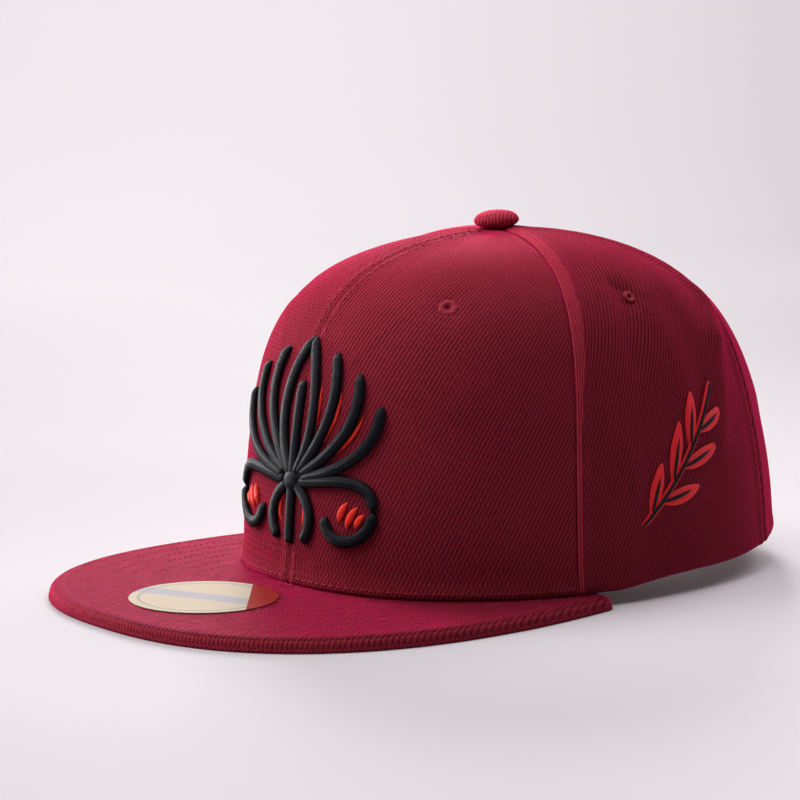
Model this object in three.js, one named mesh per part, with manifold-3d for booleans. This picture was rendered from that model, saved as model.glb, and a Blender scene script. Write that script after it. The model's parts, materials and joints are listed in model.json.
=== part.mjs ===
// A six-panel flat brim cap, in millimetres, +Z up, front towards -Y, standing on its brim.
import * as THREE from 'three';
import { mergeVertices } from 'three/addons/utils/BufferGeometryUtils.js';
import Module from 'manifold-3d';

// Crown: the rim's plan, its height and how far it leans forward over the brim
const RIM_HALF_WIDTH = 79.8;
const RIM_HALF_LENGTH = 102.2;
const CROWN_HEIGHT = 117;
const CROWN_LEAN = THREE.MathUtils.degToRad(3.95);
const RIM_MIDDLE_HEIGHT = 5.4;
const APEX_FORWARD = 1.6;
const APEX_SHIFT_POWER = 2.35;

// Powers of the rounded outlines: 2 is an ellipse, more is boxier. The waist draws the wall in and
// the dip lowers the dome between button and wall, so that the seams run up to the button.
const PLAN_POWER_AT_RIM = 2.25;
const PLAN_POWER_AT_TOP = 2.5;
const RISE_POWER = 3.09;
const REACH_POWER = { front: 3.12, side: 2.72, back: 1.62 };
const WAIST = 0.033;
const DOME_DIP = 0.8;

// Seams between panels: plan angle at the rim, and its turn by the top (front is -90 degrees)
const FRONT_SEAM = { rim: -Math.PI / 2, turn: 0 };
const TEMPLE_SEAM = { rim: -0.348, turn: 0.163 };
const REAR_SIDE_SEAM = { rim: 0.581, turn: 0.075 };
const BACK_SEAM = { rim: Math.PI / 2, turn: 0 };
const SEAM_GAP = 0.3;
const TOP_HOLE_RADIUS = 3;
const PANEL_COLUMNS = 12;
const PANEL_ROWS = 14;
const FRONT_CLOTH = 2.4;
const SOFT_CLOTH = 1.3;

// Brim: flat, its outline a rounded nose ahead of two straighter sides
const BRIM_HALF_WIDTH = 88;
const BRIM_TIP = 178.9;
const BRIM_WIDEST = 74.2;
const BRIM_NOSE_POWER = 2.457;
const BRIM_END = 29.5;
const BRIM_END_HALF_WIDTH = 84;
const BRIM_END_CORNER = 5;
const BRIM_THICKNESS = 4.6;
const BRIM_UNDERLAP = 6;
const BRIM_EDGE_ROUND = 1.2;
const TOUCH_GAP = 0.3;

// Trim
const BUTTON = { radius: 8.1, height: 6.4, shankRadius: 2.4, shankLength: 3.5 };
const EYELET = { radius: 4, hole: 1.3, thickness: 1 };
const EYELET_PLACES = [
  { name: 'front', angle: -0.877, climb: 0.9 },
  { name: 'side', angle: 0.057, climb: 0.84 },
  { name: 'back', angle: 1.02, climb: 0.84 },
];
const STICKER = { radius: 24.8, thickness: 0.3, ahead: 138.8 };

// Raised ornament on the front: strokes as curves in the front view, x across and z up.
// Each row starts where it says, bends towards two handles and ends where it says.
const STROKE = { halfWidth: 2.15, halfHeight: 1.2, step: 5.5, sides: 6 };
const FRONT_STROKES = [
  { from: [0, 41], bend1: [12, 56], bend2: [8, 76], to: [0, 88] },
  { from: [2, 42], bend1: [13, 54], bend2: [21, 68], to: [13, 84] },
  { from: [3, 42], bend1: [19, 50], bend2: [30, 62], to: [24.5, 78] },
  { from: [4, 41], bend1: [22, 45], bend2: [36, 52], to: [34, 68] },
  { from: [3, 40], bend1: [18, 41], bend2: [35, 47], to: [35, 33] },
  { from: [35, 33], bend1: [35, 20], bend2: [17, 19], to: [17, 30] },
  { from: [2, 39], bend1: [11, 34], bend2: [12, 25], to: [6.5, 20] },
];
const MIDDLE_STROKES = [
  { from: [0, 41], bend1: [0, 52], bend2: [0, 63], to: [0, 74] },
  { from: [0, 41], bend1: [0, 34], bend2: [0, 26], to: [0, 18.5] },
];
const KNOT = { height: 40, radius: 4.6 };
const ACCENT = { x: 26.2, z: 31.5, halfWidth: 3.8, halfHeight: 1.1 };

// Flat sprig on the side: leaves along a stem, y along the cap and z up
const SPRIG_STEM = { from: [-14, 25], bend1: [0, 35], bend2: [16, 50], to: [27, 71] };
const SPRIG_LEAVES = [
  { along: 0.1, side: 1, length: 19 },
  { along: 0.2, side: -1, length: 21 },
  { along: 0.34, side: 1, length: 22 },
  { along: 0.45, side: -1, length: 22 },
  { along: 0.58, side: 1, length: 20 },
  { along: 0.69, side: -1, length: 18 },
];
const LEAF = { halfWidth: 2.9, halfHeight: 0.4, spread: 0.6, step: 2.5, sides: 6 };
const STEM = { halfWidth: 1.5, step: 5 };
const VEIN = { halfWidth: 0.75, halfHeight: 0.25, share: 0.75, step: 5, sides: 6 };

const COLOURS = {
  cloth: new THREE.MeshStandardMaterial({ color: 0x7d1730, roughness: 0.85, metalness: 0 }),
  ornament: new THREE.MeshStandardMaterial({ color: 0x20232c, roughness: 0.55, metalness: 0 }),
  red: new THREE.MeshStandardMaterial({ color: 0xc8202a, roughness: 0.5, metalness: 0 }),
  foil: new THREE.MeshStandardMaterial({ color: 0xcdbb92, roughness: 0.25, metalness: 0.8 }),
};

const wasm = await Module();
wasm.setup();

// A point of the crown's outer surface. The angle goes round in plan and the climb goes from 0 at
// the rim to a quarter turn at the apex.
function crownPoint(angle, climb) {
  const across = Math.cos(angle);
  const along = Math.sin(angle);
  const front = Math.max(-along, 0) ** 2;
  const back = Math.max(along, 0) ** 2;
  const side = 1 - front - back;
  const reachPower = REACH_POWER.front * front + REACH_POWER.side * side + REACH_POWER.back * back;
  const rise = Math.sin(climb) ** (2 / RISE_POWER);
  const reach = Math.cos(climb) ** (2 / reachPower) - WAIST * Math.sin(Math.PI * rise) ** 2;
  const planPower = THREE.MathUtils.lerp(PLAN_POWER_AT_RIM, PLAN_POWER_AT_TOP, rise);
  const x = reach * RIM_HALF_WIDTH * Math.sign(across) * Math.abs(across) ** (2 / planPower);
  const y = reach * RIM_HALF_LENGTH * Math.sign(along) * Math.abs(along) ** (2 / planPower)
    - APEX_FORWARD * rise ** APEX_SHIFT_POWER;
  const dip = DOME_DIP * Math.sin(Math.PI * Math.min(reach, 1)) ** 2;
  const point = new THREE.Vector3(x, y, CROWN_HEIGHT * rise - dip);
  point.applyAxisAngle(new THREE.Vector3(1, 0, 0), CROWN_LEAN);
  point.z += RIM_MIDDLE_HEIGHT;
  return point;
}

function crownNormal(angle, climb) {
  const step = 0.01;
  const round = crownPoint(angle + step, climb).sub(crownPoint(angle - step, climb));
  const low = Math.max(climb - step, 1e-4);
  const high = Math.min(climb + step, Math.PI / 2 - 1e-4);
  const up = crownPoint(angle, high).sub(crownPoint(angle, low));
  return round.cross(up).normalize();
}

// The value between low and high where a rising function passes its target
function solve(rising, target, low, high) {
  for (let pass = 0; pass < 40; pass += 1) {
    const middle = (low + high) / 2;
    if (rising(middle) < target) low = middle;
    else high = middle;
  }
  return (low + high) / 2;
}

// Even steps over the wall and the dome: a share of 0 is the rim and 1 the apex
const shareOfClimb = (climb) => 1 - (1 - (2 * climb / Math.PI) ** (2 / 3)) ** (2 / 3);
const climbOfShare = (share) => (Math.PI / 2) * (1 - (1 - share) ** 1.5) ** 1.5;

// One closed body from vertices and triangles, with its faces turned outwards
function closedGeometry(vertices, triangles) {
  let volume = 0;
  for (const [a, b, c] of triangles) {
    volume += vertices[a].dot(new THREE.Vector3().crossVectors(vertices[b], vertices[c]));
  }
  const index = triangles.flatMap(([a, b, c]) => (volume > 0 ? [a, b, c] : [a, c, b]));
  const geometry = new THREE.BufferGeometry();
  geometry.setAttribute('position',
    new THREE.Float32BufferAttribute(vertices.flatMap((v) => v.toArray()), 3));
  geometry.setIndex(index);
  return geometry;
}

function toSolid(geometry) {
  const bare = geometry.clone();
  bare.deleteAttribute('normal');
  bare.deleteAttribute('uv');
  const merged = mergeVertices(bare, 1e-4);
  return new wasm.Manifold(new wasm.Mesh({
    numProp: 3,
    vertProperties: new Float32Array(merged.attributes.position.array),
    triVerts: new Uint32Array(merged.index.array),
  }));
}

function fromSolid(solid) {
  const mesh = solid.getMesh();
  const geometry = new THREE.BufferGeometry();
  const positions = new Float32Array(mesh.vertProperties);
  geometry.setAttribute('position', new THREE.BufferAttribute(positions, 3));
  geometry.setIndex(new THREE.BufferAttribute(new Uint32Array(mesh.triVerts), 1));
  return geometry;
}

const fuse = (geometries) => fromSolid(geometries.map(toSolid).reduce((sum, solid) => sum.add(solid)));

// Height of the cloth's lower edge over the floor: on the brim in front, at the rim plane behind
function hemHeight(point) {
  const rimPlane = RIM_MIDDLE_HEIGHT + point.y * Math.tan(CROWN_LEAN);
  const onBrim = 1 - THREE.MathUtils.smoothstep(point.y, 1 - BRIM_END, 11 - BRIM_END);
  return Math.max(rimPlane, BRIM_THICKNESS + TOUCH_GAP) * onBrim + rimPlane * (1 - onBrim);
}

// A panel of cloth between two seams, from its hem to the hole under the button
function panelGeometry(fromSeam, toSeam, thickness) {
  const seamAngle = (seam, climb) => seam.rim + seam.turn * Math.sin(climb);
  const seamInset = (seam, climb) => {
    const angle = seamAngle(seam, climb);
    const width = crownPoint(angle + 0.01, climb).distanceTo(crownPoint(angle - 0.01, climb));
    return (SEAM_GAP / 2) * (0.02 / width);
  };
  const outer = [];
  const inner = [];
  for (let column = 0; column <= PANEL_COLUMNS; column += 1) {
    const angleAt = (climb) => THREE.MathUtils.lerp(
      seamAngle(fromSeam, climb) + seamInset(fromSeam, climb),
      seamAngle(toSeam, climb) - seamInset(toSeam, climb),
      column / PANEL_COLUMNS);
    const heightOverHem = (climb) => {
      const point = crownPoint(angleAt(climb), climb);
      return point.z - hemHeight(point);
    };
    const apex = crownPoint(0, Math.PI / 2);
    const nearness = (climb) => -Math.hypot(
      crownPoint(angleAt(climb), climb).x - apex.x,
      crownPoint(angleAt(climb), climb).y - apex.y);
    const lowShare = shareOfClimb(solve(heightOverHem, 0, 1e-4, 0.5));
    const highShare = shareOfClimb(solve(nearness, -TOP_HOLE_RADIUS, 1, Math.PI / 2 - 1e-5));
    for (let row = 0; row <= PANEL_ROWS; row += 1) {
      const climb = climbOfShare(THREE.MathUtils.lerp(lowShare, highShare, row / PANEL_ROWS));
      const point = crownPoint(angleAt(climb), climb);
      outer.push(point);
      inner.push(point.clone().addScaledVector(crownNormal(angleAt(climb), climb), -thickness));
    }
  }
  return shellGeometry(outer, inner, PANEL_COLUMNS, PANEL_ROWS);
}

// A closed shell between two like grids of points
function shellGeometry(outer, inner, columns, rows) {
  const at = (column, row) => column * (rows + 1) + row;
  const below = outer.length;
  const triangles = [];
  const quad = (a, b, c, d) => triangles.push([a, b, c], [a, c, d]);
  for (let column = 0; column < columns; column += 1) {
    for (let row = 0; row < rows; row += 1) {
      const [a, b] = [at(column, row), at(column + 1, row)];
      const [c, d] = [at(column + 1, row + 1), at(column, row + 1)];
      quad(a, b, c, d);
      quad(below + a, below + d, below + c, below + b);
    }
  }
  for (let column = 0; column < columns; column += 1) {
    quad(at(column + 1, 0), at(column, 0), below + at(column, 0), below + at(column + 1, 0));
    quad(at(column, rows), at(column + 1, rows), below + at(column + 1, rows), below + at(column, rows));
  }
  for (let row = 0; row < rows; row += 1) {
    quad(at(0, row), at(0, row + 1), below + at(0, row + 1), below + at(0, row));
    quad(at(columns, row + 1), at(columns, row), below + at(columns, row), below + at(columns, row + 1));
  }
  return closedGeometry([...outer, ...inner], triangles);
}

// The same geometry on the other side of the cap
function mirrored(geometry) {
  const other = geometry.clone().scale(-1, 1, 1);
  const index = other.index.array;
  for (let corner = 0; corner < index.length; corner += 3) {
    [index[corner], index[corner + 1]] = [index[corner + 1], index[corner]];
  }
  return other;
}

// Turn a geometry built about +Z so that it stands on the crown at a place
function seatOnCrown(geometry, { angle, climb }, lift) {
  const normal = crownNormal(angle, climb);
  const turn = new THREE.Quaternion().setFromUnitVectors(new THREE.Vector3(0, 0, 1), normal);
  const seat = crownPoint(angle, climb).addScaledVector(normal, lift);
  return geometry.applyQuaternion(turn).translate(seat.x, seat.y, seat.z);
}

function latheAboutZ(profile, segments) {
  const points = profile.map(([radius, height]) => new THREE.Vector2(radius, height));
  return new THREE.LatheGeometry(points, segments).rotateX(Math.PI / 2);
}

function eyeletRing() {
  const { radius, hole, thickness } = EYELET;
  const crest = (radius + hole) / 2;
  return latheAboutZ([
    [hole, 0], [radius, 0], [radius - 0.4, thickness * 0.7], [crest, thickness],
    [hole + 0.3, thickness * 0.6], [hole, 0],
  ], 16);
}

function cutEyelet(panel, place) {
  const drill = new THREE.CylinderGeometry(EYELET.hole, EYELET.hole, 12, 12).rotateX(Math.PI / 2);
  return fromSolid(toSolid(panel).subtract(toSolid(seatOnCrown(drill, place, 0))));
}

function buttonGeometry() {
  const { radius, height, shankRadius, shankLength } = BUTTON;
  const profile = [[0, -shankLength], [shankRadius, -shankLength], [shankRadius, 0], [radius * 0.9, 0]];
  const shoulders = 5;
  for (let step = 0; step <= shoulders; step += 1) {
    const turn = (step / shoulders) * (Math.PI / 2);
    profile.push([radius * Math.cos(turn) ** 0.7, height * (0.3 + 0.7 * Math.sin(turn) ** 0.9)]);
  }
  profile[profile.length - 1][0] = 0;
  const apexPlace = { angle: -Math.PI / 2, climb: Math.PI / 2 - 0.02 };
  const seat = crownPoint(0, Math.PI / 2);
  return latheAboutZ(profile, 24)
    .applyQuaternion(new THREE.Quaternion().setFromUnitVectors(
      new THREE.Vector3(0, 0, 1), crownNormal(apexPlace.angle, apexPlace.climb)))
    .translate(seat.x, seat.y, seat.z + TOUCH_GAP);
}

// A point on the wall with a given x in the front view, or a given y in the side view, and height
function wallPlace(view, along, height) {
  const climbFor = (angle) => solve((climb) => crownPoint(angle, climb).z, height, 1e-3, 1.4);
  const [low, high] = view === 'front' ? [-Math.PI / 2 - 1.2, -Math.PI / 2 + 1.2] : [-1.2, 1.2];
  const axis = view === 'front' ? 'x' : 'y';
  const angle = solve((turn) => crownPoint(turn, climbFor(turn))[axis], along, low, high);
  return { angle, climb: climbFor(angle) };
}

// A stroke of raised stitching along a curve on the wall. Its half width follows the given shape,
// from 0 at its start to 1 at its end.
function strokeGeometry(view, curve, { halfWidth, halfHeight, step, sides }, widthShape, lift) {
  const sections = Math.max(3, Math.round(curve.getLength() / step));
  const places = [...Array(sections + 1).keys()].map((index) => {
    const spot = curve.getPointAt(index / sections);
    const place = wallPlace(view, spot.x, spot.y);
    const point = crownPoint(place.angle, place.climb);
    return { point, normal: crownNormal(place.angle, place.climb) };
  });
  const vertices = [];
  places.forEach(({ point, normal }, index) => {
    const ahead = places[Math.min(index + 1, sections)].point;
    const behind = places[Math.max(index - 1, 0)].point;
    const side = new THREE.Vector3().crossVectors(ahead.clone().sub(behind), normal).normalize();
    const width = halfWidth * widthShape(index / sections);
    for (let corner = 0; corner < sides; corner += 1) {
      const turn = (corner + 0.5) * (2 * Math.PI / sides);
      vertices.push(point.clone()
        .addScaledVector(normal, lift + halfHeight + halfHeight * Math.sin(turn))
        .addScaledVector(side, width * Math.cos(turn)));
    }
  });
  const triangles = [];
  for (let ring = 0; ring < sections; ring += 1) {
    for (let corner = 0; corner < sides; corner += 1) {
      const next = (corner + 1) % sides;
      const [a, b, c, d] = [ring * sides + corner, ring * sides + next,
        (ring + 1) * sides + next, (ring + 1) * sides + corner];
      triangles.push([a, b, c], [a, c, d]);
    }
  }
  for (let corner = 1; corner < sides - 1; corner += 1) {
    triangles.push([0, corner + 1, corner]);
    triangles.push([sections * sides, sections * sides + corner, sections * sides + corner + 1]);
  }
  return closedGeometry(vertices, triangles);
}

const bend = ({ from, bend1, bend2, to }, mirror = 1) => new THREE.CubicBezierCurve(
  ...[from, bend1, bend2, to].map(([across, up]) => new THREE.Vector2(across * mirror, up)));

const roundEnds = (share) => 0.5 + 0.5 * Math.sin(Math.PI * Math.min(1, Math.min(share, 1 - share) * 8) / 2);
const pointedEnds = (share) => 0.12 + 0.88 * Math.sin(Math.PI * share) ** 0.8;

function frontOrnament() {
  const draw = (row, mirror) => strokeGeometry('front', bend(row, mirror), STROKE, roundEnds, TOUCH_GAP);
  const knot = seatOnCrown(
    latheAboutZ([[0, 0], [KNOT.radius * 0.8, 0], [KNOT.radius, STROKE.halfHeight],
      [KNOT.radius * 0.6, 2.2 * STROKE.halfHeight], [0, 2.4 * STROKE.halfHeight]], 16),
    wallPlace('front', 0, KNOT.height), TOUCH_GAP);
  return fuse([
    knot,
    ...FRONT_STROKES.flatMap((row) => [draw(row, 1), draw(row, -1)]),
    ...MIDDLE_STROKES.map((row) => draw(row, 1)),
  ]);
}

function accentGeometry(mirror) {
  const { x, z, halfWidth, halfHeight } = ACCENT;
  const bead = latheAboutZ([[0, 0], [halfWidth * 0.8, 0], [halfWidth, halfHeight],
    [halfWidth * 0.7, 1.8 * halfHeight], [0, 2.1 * halfHeight]], 14);
  return seatOnCrown(bead, wallPlace('front', x * mirror, z), TOUCH_GAP);
}

// A leaf leaves the stem at an angle and is a stroke with pointed ends
function leafCurve({ along, side, length }, share) {
  const stem = bend(SPRIG_STEM);
  const start = stem.getPointAt(along);
  const heading = stem.getTangentAt(along);
  const turned = heading.clone().rotateAround(new THREE.Vector2(), side * LEAF.spread);
  const middle = start.clone().addScaledVector(turned, length * share * 0.5);
  const tip = start.clone().addScaledVector(turned, length * share * 0.85)
    .addScaledVector(heading, length * share * 0.15);
  return new THREE.QuadraticBezierCurve(start, middle, tip);
}

function sideSprig() {
  return fuse([
    strokeGeometry('side', bend(SPRIG_STEM), { ...LEAF, ...STEM }, roundEnds, TOUCH_GAP),
    ...SPRIG_LEAVES.map((row) => strokeGeometry(
      'side', leafCurve(row, 1), LEAF, pointedEnds, TOUCH_GAP)),
  ]);
}

function sideVeins() {
  const lift = 2 * TOUCH_GAP + 2 * LEAF.halfHeight;
  return fuse([
    strokeGeometry('side', bend(SPRIG_STEM), VEIN, roundEnds, lift),
    ...SPRIG_LEAVES.map((row) => strokeGeometry(
      'side', leafCurve(row, VEIN.share), VEIN, roundEnds, lift)),
  ]);
}

// The brim's outline in plan: nose, side and rounded end, then back along the crown
function brimGeometry() {
  const outline = [];
  const noseSteps = 18;
  for (let step = 0; step <= noseSteps; step += 1) {
    const turn = (step / noseSteps) * (Math.PI / 2);
    const x = BRIM_HALF_WIDTH * Math.sin(turn) ** (2 / BRIM_NOSE_POWER);
    const y = -BRIM_WIDEST - (BRIM_TIP - BRIM_WIDEST) * Math.cos(turn) ** (2 / BRIM_NOSE_POWER);
    outline.push([x, y]);
  }
  const sideSteps = 3;
  const cornerStart = BRIM_END + BRIM_END_CORNER;
  for (let step = 1; step <= sideSteps; step += 1) {
    const share = step / sideSteps;
    outline.push([
      BRIM_HALF_WIDTH - (BRIM_HALF_WIDTH - BRIM_END_HALF_WIDTH) * share ** 1.6,
      -THREE.MathUtils.lerp(BRIM_WIDEST, cornerStart, share)]);
  }
  const cornerSteps = 4;
  for (let step = 1; step <= cornerSteps; step += 1) {
    const turn = (step / cornerSteps) * (Math.PI / 2);
    outline.push([
      BRIM_END_HALF_WIDTH - BRIM_END_CORNER * (1 - Math.cos(turn)),
      -cornerStart + BRIM_END_CORNER * Math.sin(turn)]);
  }
  const innerScale = 1 - BRIM_UNDERLAP / RIM_HALF_WIDTH;
  const innerSteps = 16;
  const innerAngle = (step) => THREE.MathUtils.lerp(-Math.asin(BRIM_END / RIM_HALF_LENGTH), -Math.PI / 2,
    step / innerSteps);
  for (let step = 0; step <= innerSteps; step += 1) {
    const angle = innerAngle(step);
    outline.push([
      innerScale * RIM_HALF_WIDTH * Math.cos(angle) ** (2 / PLAN_POWER_AT_RIM),
      Math.min(-BRIM_END, -innerScale * RIM_HALF_LENGTH * (-Math.sin(angle)) ** (2 / PLAN_POWER_AT_RIM))]);
  }
  const otherSide = outline.slice(1, -1).reverse().map(([x, y]) => [-x, y]);
  const shape = new THREE.Shape([...outline, ...otherSide].map(([x, y]) => new THREE.Vector2(x, y)));
  return new THREE.ExtrudeGeometry(shape, {
    depth: BRIM_THICKNESS - 2 * BRIM_EDGE_ROUND,
    bevelEnabled: true,
    bevelSize: BRIM_EDGE_ROUND,
    bevelThickness: BRIM_EDGE_ROUND,
    bevelOffset: -BRIM_EDGE_ROUND,
    bevelSegments: 2,
  }).translate(0, 0, BRIM_EDGE_ROUND);
}

function stickerGeometry() {
  const { radius, thickness, ahead } = STICKER;
  return latheAboutZ([[0, 0], [radius, 0], [radius, thickness], [0, thickness]], 48)
    .translate(0, -ahead, BRIM_THICKNESS + TOUCH_GAP / 2);
}

const cap = new THREE.Group();
function addPiece(name, geometry, material) {
  const mesh = new THREE.Mesh(geometry, material);
  mesh.name = name;
  cap.add(mesh);
}

const PANELS = [
  { name: 'front', from: FRONT_SEAM, to: TEMPLE_SEAM, cloth: FRONT_CLOTH },
  { name: 'side', from: TEMPLE_SEAM, to: REAR_SIDE_SEAM, cloth: SOFT_CLOTH },
  { name: 'back', from: REAR_SIDE_SEAM, to: BACK_SEAM, cloth: SOFT_CLOTH },
];
for (const { name, from, to, cloth } of PANELS) {
  const place = EYELET_PLACES.find((row) => row.name === name);
  const panel = cutEyelet(panelGeometry(from, to, cloth), place);
  const ring = seatOnCrown(eyeletRing(), place, TOUCH_GAP);
  addPiece(`panel_${name}_left`, panel, COLOURS.cloth);
  addPiece(`panel_${name}_right`, mirrored(panel), COLOURS.cloth);
  addPiece(`eyelet_${name}_left`, ring, COLOURS.cloth);
  addPiece(`eyelet_${name}_right`, mirrored(ring), COLOURS.cloth);
}
addPiece('top_button', buttonGeometry(), COLOURS.cloth);
addPiece('brim', brimGeometry(), COLOURS.cloth);
addPiece('brim_sticker', stickerGeometry(), COLOURS.foil);
addPiece('front_ornament', frontOrnament(), COLOURS.ornament);
addPiece('ornament_accent_left', accentGeometry(1), COLOURS.red);
addPiece('ornament_accent_right', accentGeometry(-1), COLOURS.red);
addPiece('side_sprig', sideSprig(), COLOURS.red);
addPiece('side_sprig_veins', sideVeins(), COLOURS.ornament);

// The origin is on the floor, under the middle of the cap
const box = new THREE.Box3().setFromObject(cap, true);
cap.position.set(-(box.min.x + box.max.x) / 2, -(box.min.y + box.max.y) / 2, -box.min.z);

export default cap;
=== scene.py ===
import json
import math
import bmesh
import bpy
import numpy as np
from mathutils import Matrix, Vector

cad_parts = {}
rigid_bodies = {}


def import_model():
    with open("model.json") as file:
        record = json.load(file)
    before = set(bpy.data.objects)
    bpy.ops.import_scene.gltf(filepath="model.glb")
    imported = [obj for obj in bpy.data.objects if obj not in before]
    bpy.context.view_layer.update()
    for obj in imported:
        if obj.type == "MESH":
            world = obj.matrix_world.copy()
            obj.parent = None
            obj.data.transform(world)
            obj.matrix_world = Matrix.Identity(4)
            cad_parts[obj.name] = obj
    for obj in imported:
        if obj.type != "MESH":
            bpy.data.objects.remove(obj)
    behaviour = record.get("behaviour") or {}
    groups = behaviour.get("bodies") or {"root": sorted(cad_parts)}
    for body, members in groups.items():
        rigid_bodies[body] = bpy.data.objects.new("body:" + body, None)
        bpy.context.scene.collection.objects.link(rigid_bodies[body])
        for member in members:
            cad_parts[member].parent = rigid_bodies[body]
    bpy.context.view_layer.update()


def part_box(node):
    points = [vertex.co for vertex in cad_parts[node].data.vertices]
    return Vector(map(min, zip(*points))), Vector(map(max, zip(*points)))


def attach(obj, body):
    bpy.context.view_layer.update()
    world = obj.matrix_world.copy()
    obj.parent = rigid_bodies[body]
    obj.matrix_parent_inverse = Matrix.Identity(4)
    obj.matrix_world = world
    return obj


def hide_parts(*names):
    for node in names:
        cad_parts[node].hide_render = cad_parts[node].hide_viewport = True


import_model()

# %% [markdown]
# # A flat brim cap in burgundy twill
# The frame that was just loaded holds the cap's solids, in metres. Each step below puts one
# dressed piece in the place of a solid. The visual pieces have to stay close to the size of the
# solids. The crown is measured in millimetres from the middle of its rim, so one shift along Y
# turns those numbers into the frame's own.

MM = 0.001
BRIM_TIP = 178.9
ROW_SHIFT = np.array([0.0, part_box("brim")[0].y + BRIM_TIP * MM, 0.0])


def to_frame(points_mm):
    return np.asarray(points_mm, float) * MM + ROW_SHIFT


print("crown's middle lies at y =", round(ROW_SHIFT[1], 5))

# %% [markdown]
# ## Camera
# A cap on a table is mostly photographed from a step away with a long lens, which keeps the brim
# from looking large. Two angles, a small tilt and the place of the eye fix the camera. Building
# the three axes by hand, instead of a tracking constraint, keeps the small tilt of a hand-held
# picture.

# %% Place the camera
EYE_MM = (661.63, -606.02, 179.58)
AZIMUTH, ELEVATION, TILT = (math.radians(a) for a in (50.184, 7.66, 0.264))
FOCAL_SHARE = 2484.1 / 800
SENSOR_MM = 36.0

back_axis = Vector((math.cos(ELEVATION) * math.sin(AZIMUTH),
                    -math.cos(ELEVATION) * math.cos(AZIMUTH), math.sin(ELEVATION)))
level_right = (-back_axis).cross(Vector((0, 0, 1))).normalized()
level_up = (-back_axis).cross(level_right) * -1
right_axis = math.cos(TILT) * level_right + math.sin(TILT) * level_up
up_axis = back_axis.cross(right_axis)
camera_data = bpy.data.cameras.new("camera")
camera_data.lens = FOCAL_SHARE * SENSOR_MM
camera_data.sensor_width = SENSOR_MM
camera_data.clip_start = 0.05
camera_data.clip_end = 50
camera = bpy.data.objects.new("camera", camera_data)
bpy.context.scene.collection.objects.link(camera)
camera.matrix_world = Matrix.Translation(to_frame(EYE_MM)) @ Matrix(
    (right_axis, up_axis, back_axis)).transposed().to_4x4()
bpy.context.scene.camera = camera
print("lens", round(camera_data.lens, 1), "mm")

# %% [markdown]
# ## Floor and light
# The cap stands on a seamless pale sweep. A large soft light above and one on the left make the
# top and the left of the cloth glow and leave the right side dark, as a window beside a table
# does. The air around adds a weak fill, and looks pale to the camera, so the sweep can fade into
# it. A tiny lamp under the rear rim opens the deep shadow there, as light thrown back by the paper
# does. Each light's place is given to the left of the camera's line, away from the camera and up,
# because that is how a photographer thinks about them. A narrow spread keeps a back light on the
# cap's far edge.

# %% Directions of the studio, and the floor that bends up into a wall
def new_mesh_object(name, vertices, faces, smooth=True):
    mesh = bpy.data.meshes.new(name)
    mesh.from_pydata([tuple(v) for v in np.asarray(vertices, float)], [], faces)
    mesh.validate()
    mesh.polygons.foreach_set("use_smooth", [smooth] * len(mesh.polygons))
    mesh.update()
    made = bpy.data.objects.new(name, mesh)
    bpy.context.scene.collection.objects.link(made)
    return made


LEFT = -Vector((right_axis.x, right_axis.y, 0)).normalized()
AWAY = -Vector((back_axis.x, back_axis.y, 0)).normalized()
UP = Vector((0, 0, 1))


def studio_place(left, away, up):
    return left * LEFT + away * AWAY + up * UP


def sweep_backdrop():
    """One sheet: flat up to a start, bent with a radius, then a wall. All in metres."""
    near, start, bend, wall, half_width = -4.0, 1.6, 1.2, 5.0, 7.0
    profile = [(near, 0.0), (start, 0.0)]
    for turn in np.linspace(0.08, 1.5, 16):
        profile.append((start + bend * math.sin(turn), bend - bend * math.cos(turn)))
    profile.append((start + bend, wall))
    vertices = [studio_place(side, depth, height)
                for depth, height in profile for side in (-half_width, half_width)]
    faces = [(2 * i, 2 * i + 1, 2 * i + 3, 2 * i + 2) for i in range(len(profile) - 1)]
    return new_mesh_object("floor_sweep", vertices, faces)


floor = sweep_backdrop()
print("the sweep has", len(floor.data.polygons), "faces")

# %% Place the lights
# Name, place (left, away, up), what it faces, side length, spread in degrees and watts
LIGHTS = [
    ("top_light", (0.5, 0.0, 1.65), (0, 0, 0), 1.8, 180, 24.0),
    ("left_high_light", (1.3, 0.05, 1.3), (0, 0, 0.05), 1.6, 180, 9.0),
    ("left_cap_light", (1.1, 0.05, 1.5), (0, 0, 0.05), 1.6, 180, 27.0),
    ("back_top_light", (0.1, 1.6, 0.85), (0, 0, 0.08), 0.6, 50, 3.0),
    ("back_left_light", (1.2, 1.0, 0.35), (0, 0, 0.08), 0.6, 60, 4.0),
    ("back_right_light", (-0.9, 0.9, 1.1), (-0.1, 0, 0.0), 0.9, 90, 3.6),
    ("under_cap_light", (-0.03, 0.04, 0.055), (-0.09, 0.06, 0.0), 0.04, 180, 0.022),
    ("backdrop_light", (0.5, 0.9, 1.3), (0.4, 2.8, 0.3), 1.0, 180, 36.0),
]
LAMP_COLOUR = (1.0, 0.985, 1.0)
for name, place, target, size, spread, watts in LIGHTS:
    data = bpy.data.lights.new(name, "AREA")
    data.shape, data.size, data.energy = "SQUARE", size, watts
    data.spread = math.radians(spread)
    data.color = LAMP_COLOUR
    lamp = bpy.data.objects.new(name, data)
    bpy.context.scene.collection.objects.link(lamp)
    lamp.location = studio_place(*place)
    aim = studio_place(*target) - lamp.location
    lamp.rotation_euler = aim.to_track_quat("-Z", "Y").to_euler()
    lamp.visible_camera = False
print("lights:", [row[0] for row in LIGHTS])

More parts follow.
